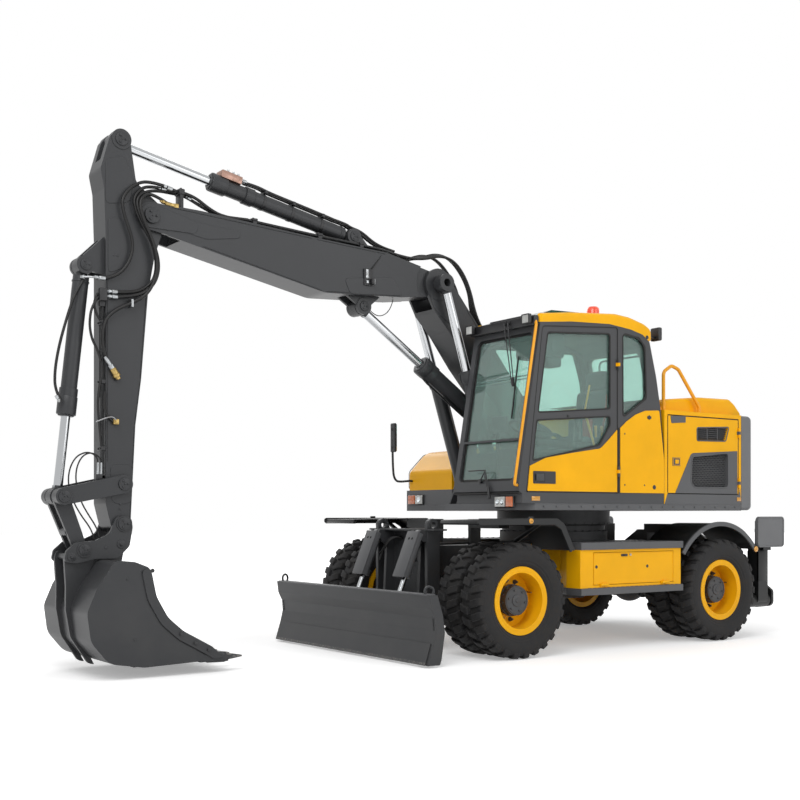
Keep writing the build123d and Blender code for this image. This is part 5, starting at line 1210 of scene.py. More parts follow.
def trim_tail():
    bm = bmesh.new()
    for y in (-820, 820):
        box(bm, (-1856, y - 95, 1420), (-1826, y + 95, 1560), 12, 3)
    piece(bm, "tail_lamp_shells", "upper", "shell")
    bm = bmesh.new()
    for y in (-820, 820):
        box(bm, (-1862, y - 84, 1430), (-1852, y - 4, 1550), 5, 3)
    piece(bm, "tail_stop_lenses", "upper", "red_lens")
    bm = bmesh.new()
    for y in (-820, 820):
        box(bm, (-1862, y + 4, 1430), (-1852, y + 84, 1550), 5, 3)
    piece(bm, "tail_turn_lenses", "upper", "amber")
    bm = bmesh.new()
    for y in (-420, 420):
        rod(bm, (-1600, y, 2236), (-1600, y, 2246), 46, 42, sides=36, radius=2)
        rod(bm, (-1600, y, 2244), (-1600, y, 2252), 20, sides=6, radius=2)
    for y in (-1246, 1240):
        box(bm, (-1398, y, 1292), (-1393, y + 6, 2236), 1, 1)
    box(bm, (-2000, -45, 2150), (-1962, 45, 2215), 12, 3)
    piece(bm, "tail_plugs", "upper", "shell")
    bm = bmesh.new()
    for y in (-700, 700):
        rod(bm, (-1880, y, 1298), (-1880, y, 1290), 28, sides=24, radius=2)
    piece(bm, "tail_foot_plugs", "upper", "iron")
    bm = bmesh.new()
    box(bm, (-1566, -40, 2262), (-1546, 160, 2292), 8, 3)
    piece(bm, "hood_latch", "hood_lid", "shell")
    bm = bmesh.new()
    plate(bm, [(-1560, -1004), (-346, -1004), (-346, 1124), (-1560, 1124)], "z", 2240.2, 2246, 30, 1, hole=10)
    piece(bm, "hood_seal", "upper", "seal")
    bm = bmesh.new()
    for x in range(-1260, -560, 46):
        box(bm, (x, -640, 2404 if x < -1000 else 2398), (x + 22, -260, 2412 if x < -1000 else 2406), 3)
    piece(bm, "hood_louvres", "hood_lid", "shell")


def trim_right_side():
    bm = bmesh.new()
    rod(bm, (420, -900, 1960), (420, -900, 2010), 60, sides=36, radius=6)
    rod(bm, (420, -900, 2008), (420, -900, 2030), 46, sides=12, radius=5)
    piece(bm, "filler_cap", "upper", "shell")
    bm = bmesh.new()
    plate(bm, [(-262, 1512), (930, 1512), (930, 1700), (730, 1890), (-262, 1990)], "y", -1238.5, -1236.5, 30, 0.8, hole=8)
    box(bm, (300, -1243, 1640), (420, -1237, 1680), 3)
    piece(bm, "cover_seam", "upper", "seal")
    bm = bmesh.new()
    for i in range(6):
        box(bm, (60 + 100 * i, -820, 1994 - 15 * i), (120 + 100 * i, -560, 2000 - 15 * i), 2, 1)
    piece(bm, "cover_grips", "upper", "step")
    bm = bmesh.new()
    for x in range(-200, 1300, 70):
        for y in (-110, -50, 10, 70):
            if x > 400:
                rod(bm, (x, y, 1345), (x, y, 1349), 12, 9, sides=10)
    for x in (980, 1060):
        for y in (210, 230):
            rod(bm, (x, y, 1345), (x, y, 1349), 5, sides=8)
    piece(bm, "platform_grips", "upper", "graphite")
    bm = bmesh.new()
    for x in range(-1300, 1300, 150):
        bolt(bm, (x, 1246, 1318), Y, 13, False)
    for x in range(-1300, 900, 150):
        bolt(bm, (x, -1246, 1318), -Y, 13, False)
    piece(bm, "skirt_screws", "upper", "graphite")
    bm = bmesh.new()
    for front, side in ((1352, 1), (946, -1)):
        for z, out in ((1290, 1247), (1340, 1246.5)):
            box(bm, (-1392, min(1240 * side, out * side), z - 4.5), (front, max(1240 * side, out * side), z + 4.5), 3, 2)
    piece(bm, "skirt_lips", "upper", "graphite")


# ---------------------------------------------------------------- boom, arm and bucket
def pin_cap(bm, x, z, y, r):
    """Round cover on a pin's end, held by three bolts round a grease nipple."""
    out = Vector((0, 1 if y > 0 else -1, 0))
    spot = Vector((x, y, z))
    rod(bm, spot - out * 2, spot + out * 9, r, sides=36, radius=2.5)
    for hole in circle_of(3, spot + out * 9, out, r * 0.58, 0.5):
        bolt(bm, hole, out, r * 0.3, False)
    rod(bm, spot + out * 8, spot + out * 15, r * 0.12, sides=10)


def fit_pin_caps():
    rows = {
        "upper": [(250, 1800, 190, 62), (960, 1480, 322, 46)],
        "boom_lower": [(1583, 3389, 180, 72), (825, 2078, 85, 44)],
        "boom_upper": [(4425, 3613, 180, 62), (2365, 3121, 92, 46), (2460, 3735, 80, 44)],
        "dipper": [(4660, 4185, 136, 52), (4929, 3180, 85, 44), (4652, 1485, 172, 48)],
        "rocker": [(5128, 1385, 176, 46)],
        "bucket_group": [(4652, 1175, 168, 50), (4970, 976, 168, 44)],
    }
    for body, caps in rows.items():
        bm = bmesh.new()
        for x, z, y, r in caps:
            for side in (1, -1):
                pin_cap(bm, x, z, y * side, r)
        piece(bm, f"{body}_pin_caps", body, "charcoal")
    bm = bmesh.new()
    nose = [(4425 + 96 * math.cos(t), 3613 + 96 * math.sin(t)) for t in [math.radians(a) for a in range(-100, 101, 20)]]
    tail = [(4080 - 52 * math.cos(t), 3572 + 52 * math.sin(t)) for t in [math.radians(a) for a in range(80, -81, -20)]]
    for y0, y1 in ((159, 168), (-168, -159)):
        plate(bm, nose + tail, "y", y0, y1, 0, 0)
    piece(bm, "boom_nose_rings", "boom_upper", "charcoal")


def fit_reinforcements():
    """Welded doubler plates and seams on the boom, the arm and the linkage."""
    bm = bmesh.new()
    for y0, y1 in ((159, 165), (-165, -159)):
        plate(bm, [(4300, 3690), (4230, 3650), (3950, 3610), (3640, 3600), (3640, 3540), (3950, 3490), (4230, 3540), (4300, 3500)], "y", y0, y1, 30, 2)
        plate(bm, [(2560, 3196), (2620, 3330), (2100, 3400), (1990, 3240)], "y", y0, y1, 40, 2)
        for p, q in (((4250, 3705), (2950, 3636)), ((2900, 3633), (2180, 3598)), ((3980, 3430), (2850, 3196)), ((2800, 3194), (2020, 3240))):
            weld(bm, (p[0], y0 + 2 if y0 > 0 else y1 - 2, p[1]), (q[0], y0 + 2 if y0 > 0 else y1 - 2, q[1]), 3)
    piece(bm, "upper_boom_doublers", "boom_upper", "charcoal")
    bm = bmesh.new()
    for y0, y1 in ((129, 134), (-134, -129)):
        plate(bm, [(4790, 4010), (4640, 4060), (4560, 3900), (4590, 3700), (4790, 3660)], "y", y0, y1, 40, 2)
        plate(bm, [(4770, 3560), (4640, 3560), (4570, 3420), (4600, 3200), (4770, 3120)], "y", y0, y1, 40, 2)
        plate(bm, [(4752, 1640), (4570, 1640), (4580, 1330), (4740, 1330)], "y", y0, y1, 50, 2)
        for p, q in (((4776, 3100), (4776, 1660)), ((4455, 2990), (4506, 2320)), ((4508, 2300), (4552, 1960)), ((4554, 1940), (4592, 1200))):
            weld(bm, (p[0], y0 + 2 if y0 > 0 else y1 - 2, p[1]), (q[0], y0 + 2 if y0 > 0 else y1 - 2, q[1]), 3)
    for y in (130, -130):
        out = 1 if y > 0 else -1
        for x, z in ((4722, 3268), (4696, 3268), (4672, 1330), (4672, 1290)):
            rod(bm, (x, y, z), (x, y + 7 * out, z), 9, sides=20, radius=1.5)
    piece(bm, "arm_doublers", "dipper", "charcoal")
    bm = bmesh.new()
    for y0, y1 in ((159, 165), (-165, -159)):
        plate(bm, [(1420, 3350), (1260, 3160), (1330, 2990), (1480, 3050), (1640, 3170), (1690, 3290)], "y", y0, y1, 30, 2)
        for p, q in (((1250, 3190), (980, 2870)), ((950, 2835), (530, 2330)), ((1210, 2690), (760, 2180))):
            weld(bm, (p[0], y0 + 2 if y0 > 0 else y1 - 2, p[1]), (q[0], y0 + 2 if y0 > 0 else y1 - 2, q[1]), 3)
    piece(bm, "lower_boom_doublers", "boom_lower", "charcoal")


def along(base, eye, reach, out=0.0, y=0.0):
    """Point on a cylinder's axis, some way above it in the side view."""
    direction = Vector((eye[0] - base[0], 0, eye[1] - base[1])).normalized()
    across = Vector((-direction.z, 0, direction.x))
    return Vector((base[0], y, base[1])) + direction * reach + across * out


def fit_cylinder_heads():
    """Glands, head bolts, wipers and port blocks of the boom, arm and bucket cylinders."""
    rows = (("arm", (2460, 3735), (4660, 4185), 1070, 1416, 66, 38, "arm_cylinder", 0),
            ("bucket", (4929, 3180), (5128, 1385), 1020, 1176, 62, 36, "bucket_cylinder", 0),
            ("knee", (825, 2078), (2365, 3121), 985, 1030, 82, 42, "knee_cylinder", 0),
            ("lift", (960, 1480), (1583, 3389), 1150, 1168, 66, 42, "lift_barrel_pair", 250))
    for name, base, eye, start, end, r, shaft, body, lane in rows:
        bm = bmesh.new()
        for y in ((lane, -lane) if lane else (0,)):
            p, q = along(base, eye, start, 0, y), along(base, eye, end, 0, y)
            heading = (q - p).normalized()
            deep = 150 if end - start > 60 else 96
            if end - start > 60:
                rod(bm, p, q - heading * 96, r, sides=40, radius=1)
            rod(bm, q - heading * deep, q - heading * 4, r + 13, sides=40, radius=8)
            washer(bm, q - heading * 6, q + heading * 6, r - 4, shaft + 1, 40, 2)
            for spot in circle_of(10, q - heading * 5, heading, r - 2):
                bolt(bm, spot, heading, 9, False)
            rod(bm, along(base, eye, 118, 0, y), along(base, eye, 132, 0, y), r + 5, sides=40, radius=3)
        piece(bm, f"{name}_gland", body, "charcoal")
    bm = bmesh.new()
    place = Matrix.Rotation(-math.atan2(0.200396, 0.979715), 4, "Y")
    middle = along((2460, 3735), (4660, 4185), 1250, 84)
    box(bm, middle - Vector((96, 52, 30)), middle + Vector((96, 70, 34)), 6, 2, spin=place)
    piece(bm, "arm_valve_block", "arm_cylinder", "copper")
    bm = bmesh.new()
    for dx, dy in ((-66, 30), (-20, 30), (30, 30), (-44, -18), (12, -18)):
        spot = along((2460, 3735), (4660, 4185), 1250 + dx, 116, dy)
        rod(bm, spot, spot + Vector((-0.2, 0, 0.98)) * 20, 13, sides=6, radius=1)
        rod(bm, spot + Vector((-4, 0, 18)), spot + Vector((-6, 0, 30)), 8, sides=14)
    spot = along((2460, 3735), (4660, 4185), 1168, 96, 34)
    coupling(bm, spot - Vector((60, 0, 6)), (0.98, 0, 0.2), 11)
    coupling(bm, spot - Vector((60, 46, 6)), (0.98, 0, 0.2), 11)
    piece(bm, "arm_valve_fittings", "arm_cylinder", "zinc")
    bm = bmesh.new()
    for reach in (320, 620, 900):
        p = along((2460, 3735), (4660, 4185), reach)
        washer(bm, p, p + Vector((26, 0, 5.3)), 70, 64, 36, 1.5)
        top = along((2460, 3735), (4660, 4185), reach + 12, 82)
        box(bm, top - Vector((14, 36, 14)), top + Vector((14, 60, 16)), 4, spin=place)
    piece(bm, "arm_cylinder_clamps", "arm_cylinder", "shell")
    routes = []
    for i, y in enumerate((34, -12)):
        routes.append([along((2460, 3735), (4660, 4185), 1110, 92 + 4 * i, y), along((2460, 3735), (4660, 4185), 1000, 104 + 5 * i, y),
                       along((2460, 3735), (4660, 4185), 880, 92, y), along((2460, 3735), (4660, 4185), 620, 93, y),
                       along((2460, 3735), (4660, 4185), 330, 92, y), along((2460, 3735), (4660, 4185), 200, 90, y)])
    lines("arm_cylinder_hoses", routes, 12, "arm_cylinder", "hose")
    routes = []
    for y in (34, -12):
        routes.append([along((2460, 3735), (4660, 4185), 210, 90, y), along((2460, 3735), (4660, 4185), 80, 96, y), (2480, y, 3822),
                       (2360, y, 3800), (2240, y + 8, 3720), (2120, y + 12, 3680), (2010, y + 16, 3664)])
    bending("arm_cylinder_tails", routes, 12, ("arm_cylinder", "boom_upper"), "hose")
    base, eye = (4929, 3180), (5128, 1385)
    lines("bucket_cylinder_hose", [[(4946, 74, 3060), (5012, 84, 2960), (5074, 86, 2774), (5140, 86, 2539), (5174, 86, 2340), (5170, 82, 2190), (5118, 76, 2110)]],
          11, "bucket_cylinder", "hose")
    bm = bmesh.new()
    coupling(bm, (5158, 80, 2150), (-0.5, -0.1, -0.86), 11, 44)
    piece(bm, "bucket_cylinder_port", "bucket_cylinder", "zinc")


def fit_boom_lines(sizes):
    r, thin, pipe = sizes.hose / MM, sizes.thin_hose / MM, sizes.pipe / MM
    routes = []
    for i, y in enumerate((136, 104, 72)):
        routes.append([(3560, y, 3712), (3480, y, 3706), (3200, y, 3690), (2863, y, 3672), (2560, y, 3660), (2425, y, 3652), (2200, y, 3640), (2090, y, 3622), (1980, y, 3606)])
    for y in (-136, -104):
        routes.append([(3900, y, 3736), (3480, y, 3706), (2863, y, 3672), (2425, y, 3652), (2200, y, 3640), (1980, y, 3606)])
    lines("upper_boom_pipes", routes, pipe, "boom_upper", "black")
    bm = bmesh.new()
    for x, z in ((3500, 3700), (2863, 3664), (2430, 3644)):
        box(bm, (x - 20, 52, z - 18), (x + 20, 156, z + 10), 4)
        box(bm, (x - 26, 48, z + 10), (x + 26, 160, z + 30), 6)
        bolt(bm, (x, 120, z + 30), Z, 17)
        bolt(bm, (x, 88, z + 30), Z, 17)
        box(bm, (x - 20, -156, z - 18), (x + 20, -84, z + 30), 5)
    box(bm, (4146, 60, 3716), (4176, 156, 3830), 5)
    box(bm, (4136, 54, 3826), (4186, 162, 3872), 8)
    for y in (82, 134):
        bolt(bm, (4161, y, 3872), Z, 16)
    box(bm, (2330, 160, 3290), (2420, 176, 3440), 5)
    box(bm, (2330, 160, 3300), (2360, 214, 3350), 6)
    piece(bm, "boom_clamps", "boom_upper", "shell")
    bm = bmesh.new()
    rod(bm, (2390, 176, 3372), (2390, 176, 3432), 15, sides=20, radius=2)
    rod(bm, (2390, 176, 3350), (2390, 176, 3374), 19, sides=6, radius=2)
    rod(bm, (2330, 196, 3300), (2330, 196, 3350), 13, sides=20, radius=2)
    box(bm, (2376, 174, 3306), (2404, 190, 3334), 4)
    piece(bm, "boom_taps", "boom_upper", "zinc")
    lines("boom_wire", [[(2340, 172, 3440), (2290, 164, 3500), (2240, 162, 3560), (2200, 150, 3622)],
                        [(2290, 60, 3100), (2230, 60, 3050), (2130, 60, 3060), (2050, 60, 3140), (2030, 60, 3220)]], 4, "boom_upper", "hose")
    # hoses from the boom's top on to the arm
    first = [(3560, 136, 3712), (3700, 136, 3706), (3794, 132, 3708), (3908, 128, 3752), (4021, 124, 3822), (4120, 122, 3848), (4200, 122, 3850), (4278, 122, 3876), (4404, 122, 3890)]
    second = [(3560, 104, 3712), (3700, 104, 3708), (3800, 100, 3712), (3913, 96, 3748), (4026, 92, 3796), (4120, 90, 3846), (4200, 90, 3846), (4283, 96, 3862), (4409, 110, 3858)]
    third = [(3560, 72, 3712), (3720, 72, 3722), (3850, 70, 3750), (4000, 66, 3800), (4120, 66, 3846), (4210, 70, 3844), (4330, 110, 3836), (4440, 140, 3812)]
    routes = [
        first + [(4500, 136, 3876), (4600, 158, 3810), (4668, 168, 3720), (4670, 172, 3640), (4632, 172, 3520), (4584, 172, 3400), (4590, 170, 3278),
                 (4650, 166, 3160), (4740, 158, 3090), (4820, 148, 3074)],
        second + [(4500, 146, 3826), (4572, 164, 3740), (4566, 170, 3650), (4500, 170, 3520), (4420, 170, 3400), (4386, 170, 3260), (4396, 168, 3130),
                  (4460, 162, 3040), (4580, 156, 2985), (4720, 152, 2979)],
        third + [(4530, 176, 3760), (4562, 190, 3690), (4530, 194, 3590), (4450, 194, 3450), (4384, 194, 3300), (4376, 194, 3160), (4430, 190, 3040),
                 (4540, 176, 2960), (4720, 156, 2939)],
        [(4300, 150, 3742), (4400, 165, 3780), (4490, 190, 3770), (4546, 206, 3690), (4512, 212, 3561), (4436, 212, 3415), (4394, 212, 3263), (4406, 208, 3110),
         (4480, 200, 2970), (4600, 184, 2900), (4720, 168, 2840), (4800, 158, 2760), (4826, 154, 2650), (4818, 152, 2530), (4785, 150, 2450)],
    ]
    bending("boom_to_arm_hoses", routes, r, ("boom_upper", "dipper"), "hose")
    bm = bmesh.new()
    coupling(bm, (4240, 122, 3862), (0.97, 0, 0.22), r)
    coupling(bm, (4280, 98, 3860), (1, 0, 0), r)
    coupling(bm, (4060, 92, 3816), (0.9, 0, 0.42), r, 50)
    piece(bm, "boom_hose_ends", "boom_upper", "zinc")
    bm = bmesh.new()
    coupling(bm, (4270, 150, 3728), (1, 0.1, 0.2), r)
    rod(bm, (4230, 150, 3724), (4276, 150, 3728), 20, sides=6, radius=2)
    box(bm, (4190, 132, 3708), (4232, 162, 3742), 4)
    piece(bm, "boom_brass_ends", "boom_upper", "brass")


def fit_knee_hoses(sizes):
    r = sizes.hose / MM
    routes = []
    for i, y in enumerate((136, 104, 72, -104, -136)):
        lift = 14 * i
        routes.append([(2060, y, 3616), (1980, y, 3606), (1860, y, 3600), (1700, y, 3620 + lift), (1540, y, 3670 + lift), (1380, y, 3640 + lift), (1260 - lift, y, 3520),
                       (1180 - lift, y, 3360), (1140, y, 3210), (1080, y, 3080), (1010, y, 2990)])
    bending("knee_hoses", routes, r, ("boom_upper", "boom_lower"), "hose")
    routes = []
    for y in (136, 104, 72, -104, -136):
        routes.append([(1060, y, 3050), (1000, y, 2974), (950, y, 2902), (700, y, 2600), (470, y, 2330), (330, y, 2170)])
    lines("lower_boom_pipes", routes, sizes.pipe / MM, "boom_lower", "black")
    bm = bmesh.new()
    for x, z in ((900, 2838), (520, 2386)):
        place = Matrix.Rotation(-0.88, 4, "Y")
        for y0, y1 in ((52, 156), (-156, -84)):
            box(bm, (x - 22, y0, z - 18), (x + 22, y1, z + 22), 5, spin=place)
    for y0, y1 in ((52, 156), (-156, -84)):
        box(bm, (1030, y0, 2990), (1080, y1, 3050), 6, spin=Matrix.Rotation(-0.88, 4, "Y"))
    piece(bm, "lower_boom_clamps", "boom_lower", "shell")
    routes = []
    for i, y in enumerate((110, 80, 50, -80, -110)):
        routes.append([(380, y, 2226), (300, y, 2138), (180, y, 2060), (40 - 8 * i, y, 2060), (-70 - 8 * i, y, 1980), (-120 - 6 * i, y, 1820),
                       (-140, y, 1640), (-150, y, 1480), (-150, y, 1348)])
    bending("foot_hoses", routes, r, ("boom_lower", "upper"), "hose")
    for side in (1, -1):
        routes = []
        for j in (0, 1):
            routes.append([along((960, 1480), (1583, 3389), 150 + 40 * j, 72, 250 * side), along((960, 1480), (1583, 3389), 230, 110 + 20 * j, (244 - 20 * j) * side),
                           (820 - 30 * j, 240 * side, 1660), (740, 230 * side, 1500), (700 - 40 * j, 225 * side, 1350)])
        bending(f"lift_hoses_{'left' if side > 0 else 'right'}", routes, 11, ("upper", "lift_barrel_pair"), "hose")
        lines(f"lift_pipe_{'left' if side > 0 else 'right'}",
              [[along((960, 1480), (1583, 3389), s, o, 250 * side) for s, o in ((170, 66), (230, 82), (700, 82), (1060, 82), (1100, 66))]],
              9, "lift_barrel_pair", "black")
    lines("knee_cylinder_pipe", [[along((825, 2078), (2365, 3121), s, -o, 0) for s, o in ((140, 84), (210, 98), (800, 98), (900, 98), (950, 84))],
                                 [along((825, 2078), (2365, 3121), s, -o, 24) for s, o in ((150, 80), (230, 96), (500, 96), (620, 96), (660, 84))]],
          10, "knee_cylinder", "black")
    bending("knee_cylinder_hose", [[along((825, 2078), (2365, 3121), 150, -84, y), along((825, 2078), (2365, 3121), 90, -150, y), (960, y, 1990), (860, y, 1960),
                                    (760, y, 2020), (720, y, 2090)] for y in (20, -20)], 11, ("knee_cylinder", "boom_lower"), "hose")


def fit_arm_lines(sizes):
    r, thin = sizes.hose / MM, sizes.thin_hose / MM
    bm = bmesh.new()
    coupling(bm, (4808, 149, 3075), (1, -0.1, 0.02), r, 80)
    rod(bm, (4888, 140, 3077), (4955, 96, 3079), 8, sides=14)
    rod(bm, (4950, 100, 3079), (4960, 72, 3080), 17, sides=6, radius=2)
    coupling(bm, (4712, 153, 2979), (1, -0.02, 0), r, 70)
    coupling(bm, (4712, 157, 2939), (1, -0.06, 0), r, 70)
    rod(bm, (4800, 148, 2470), (4756, 150, 2404), 15, sides=20, radius=2)
    rod(bm, (4760, 150, 2410), (4738, 150, 2376), 22, sides=6, radius=2)
    box(bm, (4586, 131, 2868), (4606, 200, 2930), 4)
    piece(bm, "arm_hose_ends", "dipper", "zinc")
    bm = bmesh.new()
    rod(bm, (4742, 150, 2382), (4700, 150, 2318), 26, sides=28, radius=5)
    rod(bm, (4716, 150, 2342), (4702, 150, 2320), 31, sides=28, radius=5)
    rod(bm, (4704, 150, 2324), (4690, 150, 2302), 20, sides=6, radius=3)
    box(bm, (4690, 131, 1948), (4736, 160, 1990), 4)
    box(bm, (4700, 158, 1956), (4726, 168, 1982), 3)
    piece(bm, "arm_brass_fittings", "dipper", "brass")
    bm = bmesh.new()
    box(bm, (4784, 100, 2900), (4846, 166, 3000), 8, 3)
    box(bm, (4788, 60, 2860), (4836, 128, 2990), 8, 3)
    for z in (2740, 2280, 1760, 1540):
        box(bm, (4786, 20, z - 16), (4820, 128, z + 16), 5)
        bolt(bm, (4820, 60, z), X, 15)
        bolt(bm, (4820, 100, z), X, 15)
    box(bm, (4788, 92, 1512), (4862, 128, 1560), 6)
    box(bm, (4690, 130, 2290), (4716, 150, 2352), 4)
    piece(bm, "arm_clamps", "dipper", "shell")
    lines("arm_pipes", [[(4804, y, 2950), (4806, y, 2860), (4806, y, 2300), (4806, y, 1980), (4806, y, 1800), (4806, y, 1560)] for y in (112, 84)]
          + [[(4806, 56, 2900), (4806, 56, 2600), (4806, 56, 2280), (4806, 56, 2160)]], 9, "dipper", "black")
    lines("arm_side_hoses", [[(4846, 130, 2930), (4900, 134, 2860), (4922, 134, 2720), (4900, 130, 2600), (4850, 122, 2520), (4824, 118, 2440)],
                             [(4800, 146, 2200), (4806, 148, 2110), (4800, 148, 2040), (4770, 148, 2000), (4736, 146, 1972)],
                             [(4824, 118, 2300), (4846, 124, 2180), (4850, 126, 2060), (4832, 122, 1900), (4820, 114, 1780)],
                             [(4846, 116, 2960), (4880, 120, 2900), (4872, 122, 2820), (4836, 118, 2760)]], thin + 2, "dipper", "hose")
    lines("arm_service_pipe", [[(4712, 160, 1972), (4730, 164, 2004), (4780, 160, 2004), (4872, 150, 1962)]], 6, "dipper", "steel")
    routes = [[(4843, 110, 1560), (4843, 110, 1640), (4850, 110, 1690), (4890, 110, 1722), (4945, 110, 1728), (5020, 110, 1690), (5072, 110, 1590), (5078, 110, 1467),
               (5041, 110, 1350), (4977, 110, 1240), (4915, 110, 1160), (4880, 110, 1090), (4872, 110, 1030)],
              [(4816, 110, 1560), (4816, 110, 1640), (4826, 110, 1686), (4860, 110, 1712), (4910, 110, 1726), (4972, 110, 1694), (5014, 110, 1607), (5020, 110, 1495),
               (4981, 110, 1350), (4920, 110, 1246), (4868, 110, 1170), (4836, 110, 1100), (4826, 110, 1040)]]
    bending("coupler_hoses", routes, thin - 2, ("dipper", "bucket_group"), "hose")
    bm = bmesh.new()
    for x in (4843, 4816):
        rod(bm, (x, 110, 1556), (x, 110, 1580), 11, sides=6, radius=1)
        rod(bm, (x, 110, 1578), (x, 110, 1650), 9, sides=18, radius=1.5)
    piece(bm, "coupler_hose_ends", "dipper", "zinc")


def fit_coupler():
    bm = bmesh.new()
    box(bm, (4760, -132, 1000), (4900, 132, 1030), 5)
    rod(bm, (4720, 0, 1000), (4900, 0, 968), 40, sides=32, radius=4)
    rod(bm, (4890, 0, 970), (4990, 0, 950), 22, sides=24, radius=2)
    box(bm, (4960, -128, 880), (5040, 128, 905), 6)
    for y in (150, -150):
        out = 1 if y > 0 else -1
        for x, z in ((4675, 1015), (5068, 925)):
            rod(bm, (x, y + 10 * out, z), (x, y + 16 * out, z), 34, sides=32, radius=2)
            bolt(bm, (x, y + 14 * out, z), (0, out, 0), 24)
        rod(bm, (4800, y + 8 * out, 990), (4800, y + 13 * out, 990), 12, sides=20, radius=2)
    piece(bm, "coupler_lock", "bucket_group", "charcoal")
    bm = bmesh.new()
    for y0, y1 in ((56, 92), (-92, -56)):
        plate(bm, [(5092, 1330), (5150, 1330), (5060, 1120), (5000, 1050), (4985, 1080)], "y", y0 - 3 if y0 > 0 else y1 - 1, y0 + 1 if y0 > 0 else y1 + 3, 14, 1)
    box(bm, (5010, -58, 1150), (5040, 58, 1270), 8)
    piece(bm, "link_stiffener", "link", "charcoal")


def trim_bucket():
    bm = bmesh.new()
    for y in (-445, -222, 0, 222, 445):
        for s in (1, -1):
            rod(bm, (3990, y + 40 * s, 122), (3990, y + 50 * s, 122), 13, sides=20, radius=2)
            plate(bm, [(4100, 92), (4090, 128), (4030, 160), (3950, 152), (3930, 100)], "y", y + 44 * s, y + 50 * s, 10, 1.5)
        box(bm, (3958, y - 52, 96), (3974, y + 52, 156), 5)
    piece(bm, "tooth_adapters", "bucket_group", "iron")
    bm = bmesh.new()
    for s in (1, -1):
        y = 512 * s
        for x, z in ((4096, 190), (4210, 246), (4330, 324)):
            bolt(bm, (x, y - 2 * s, z), (0, s, 0), 26)
        for p, q in (((4105, 142), (4350, 280)), ((4352, 282), (4490, 404)), ((4494, 412), (4600, 592)), ((4602, 600), (4648, 820))):
            weld(bm, (p[0], 501 * s, p[1]), (q[0], 501 * s, q[1]), 3)
        rod(bm, (4560, 500 * s, 820), (4560, 507 * s, 820), 16, sides=20, radius=2)
        for x, z in ((4760, 760), (4700, 300)):
            rod(bm, (x, 500 * s, z), (x, 506 * s, z), 9, sides=16, radius=2)
    piece(bm, "bucket_side_bolts", "bucket_group", "charcoal")
    bm = bmesh.new()
    for y in (-334, -111, 111, 334):
        plate(bm, [(3905, 124), (3968, 100), (4090, 92), (4090, 120), (3968, 150)], "y", y - 54, y + 54, 6, 2)
    piece(bm, "lip_shrouds", "bucket_group", "wear")
    bm = bmesh.new()
    for y in (94, 128, -94, -128):
        weld(bm, (4868, y, 900), (5000, y, 680), 3)
        weld(bm, (5008, y, 660), (5070, y, 520), 3)
    piece(bm, "bucket_ear_welds", "bucket_group", "charcoal")


# ---------------------------------------------------------------- stage
def set_stage(look):
    scene = bpy.context.scene
    scene.view_settings.view_transform = "Standard"
    lens_data = bpy.data.cameras.new("camera")
    lens_data.lens = 52.2
    lens_data.sensor_width = 36
    lens_data.shift_y = 0.143
    lens_data.clip_end = 200
    camera = bpy.data.objects.new("camera", lens_data)
    camera.location = Vector((8078, 8816, 1248)) * MM + ORIGIN
    camera.rotation_mode = "QUATERNION"
    camera.rotation_quaternion = Vector((-0.5733, -0.8194, 0)).to_track_quat("-Z", "Y")
    scene.collection.objects.link(camera)
    scene.camera = camera

    bm = bmesh.new()
    bmesh.ops.create_grid(bm, x_segments=1, y_segments=1, size=60)
    mesh = bpy.data.meshes.new("floor")
    bm.to_mesh(mesh)
    bm.free()
    floor = bpy.data.objects.new("floor", mesh)
    scene.collection.objects.link(floor)
    floor.data.materials.append(studio_floor(look))

    world = bpy.data.worlds.new("studio")
    world.use_nodes = True
    tree = world.node_tree
    tree.nodes.clear()
    path = add(tree, "ShaderNodeLightPath")
    shown = add(tree, "ShaderNodeMath", {0: path.outputs["Is Camera Ray"], 1: path.outputs["Is Glossy Ray"]}, operation="MAXIMUM")
    shown = add(tree, "ShaderNodeMath", {0: shown.outputs[0], 1: path.outputs["Is Transmission Ray"]}, operation="MAXIMUM")
    strength = spread(tree, shown.outputs[0], 0.0, 1.0, look.sky, 1.0)
    sky = add(tree, "ShaderNodeBackground", {"Color": (1.0, 1.0, 1.0, 1.0), "Strength": strength})
    add(tree, "ShaderNodeOutputWorld", {"Surface": sky.outputs["Background"]})
    scene.world = world

    lamp("key_lamp", (6.5, 5.5, 8.5), (0.3, 0.4, 1.4), 6.0, look.key)
    lamp("fill_lamp", (-3.5, 9.5, 5.0), (-0.6, 0.8, 1.5), 6.0, look.fill)
    lamp("back_lamp", (-2.0, -8.5, 7.5), (0.0, 0.0, 1.6), 5.0, look.back)


def lamp(name, spot, aim, size, power):
    """Soft box pointing at the machine."""
    data = bpy.data.lights.new(name, "AREA")
    data.shape = "SQUARE"
    data.size = size
    data.energy = power
    obj = bpy.data.objects.new(name, data)
    obj.location = spot
    obj.rotation_mode = "QUATERNION"
    obj.rotation_quaternion = (Vector(aim) - Vector(spot)).to_track_quat("-Z", "Y")
    bpy.context.scene.collection.objects.link(obj)


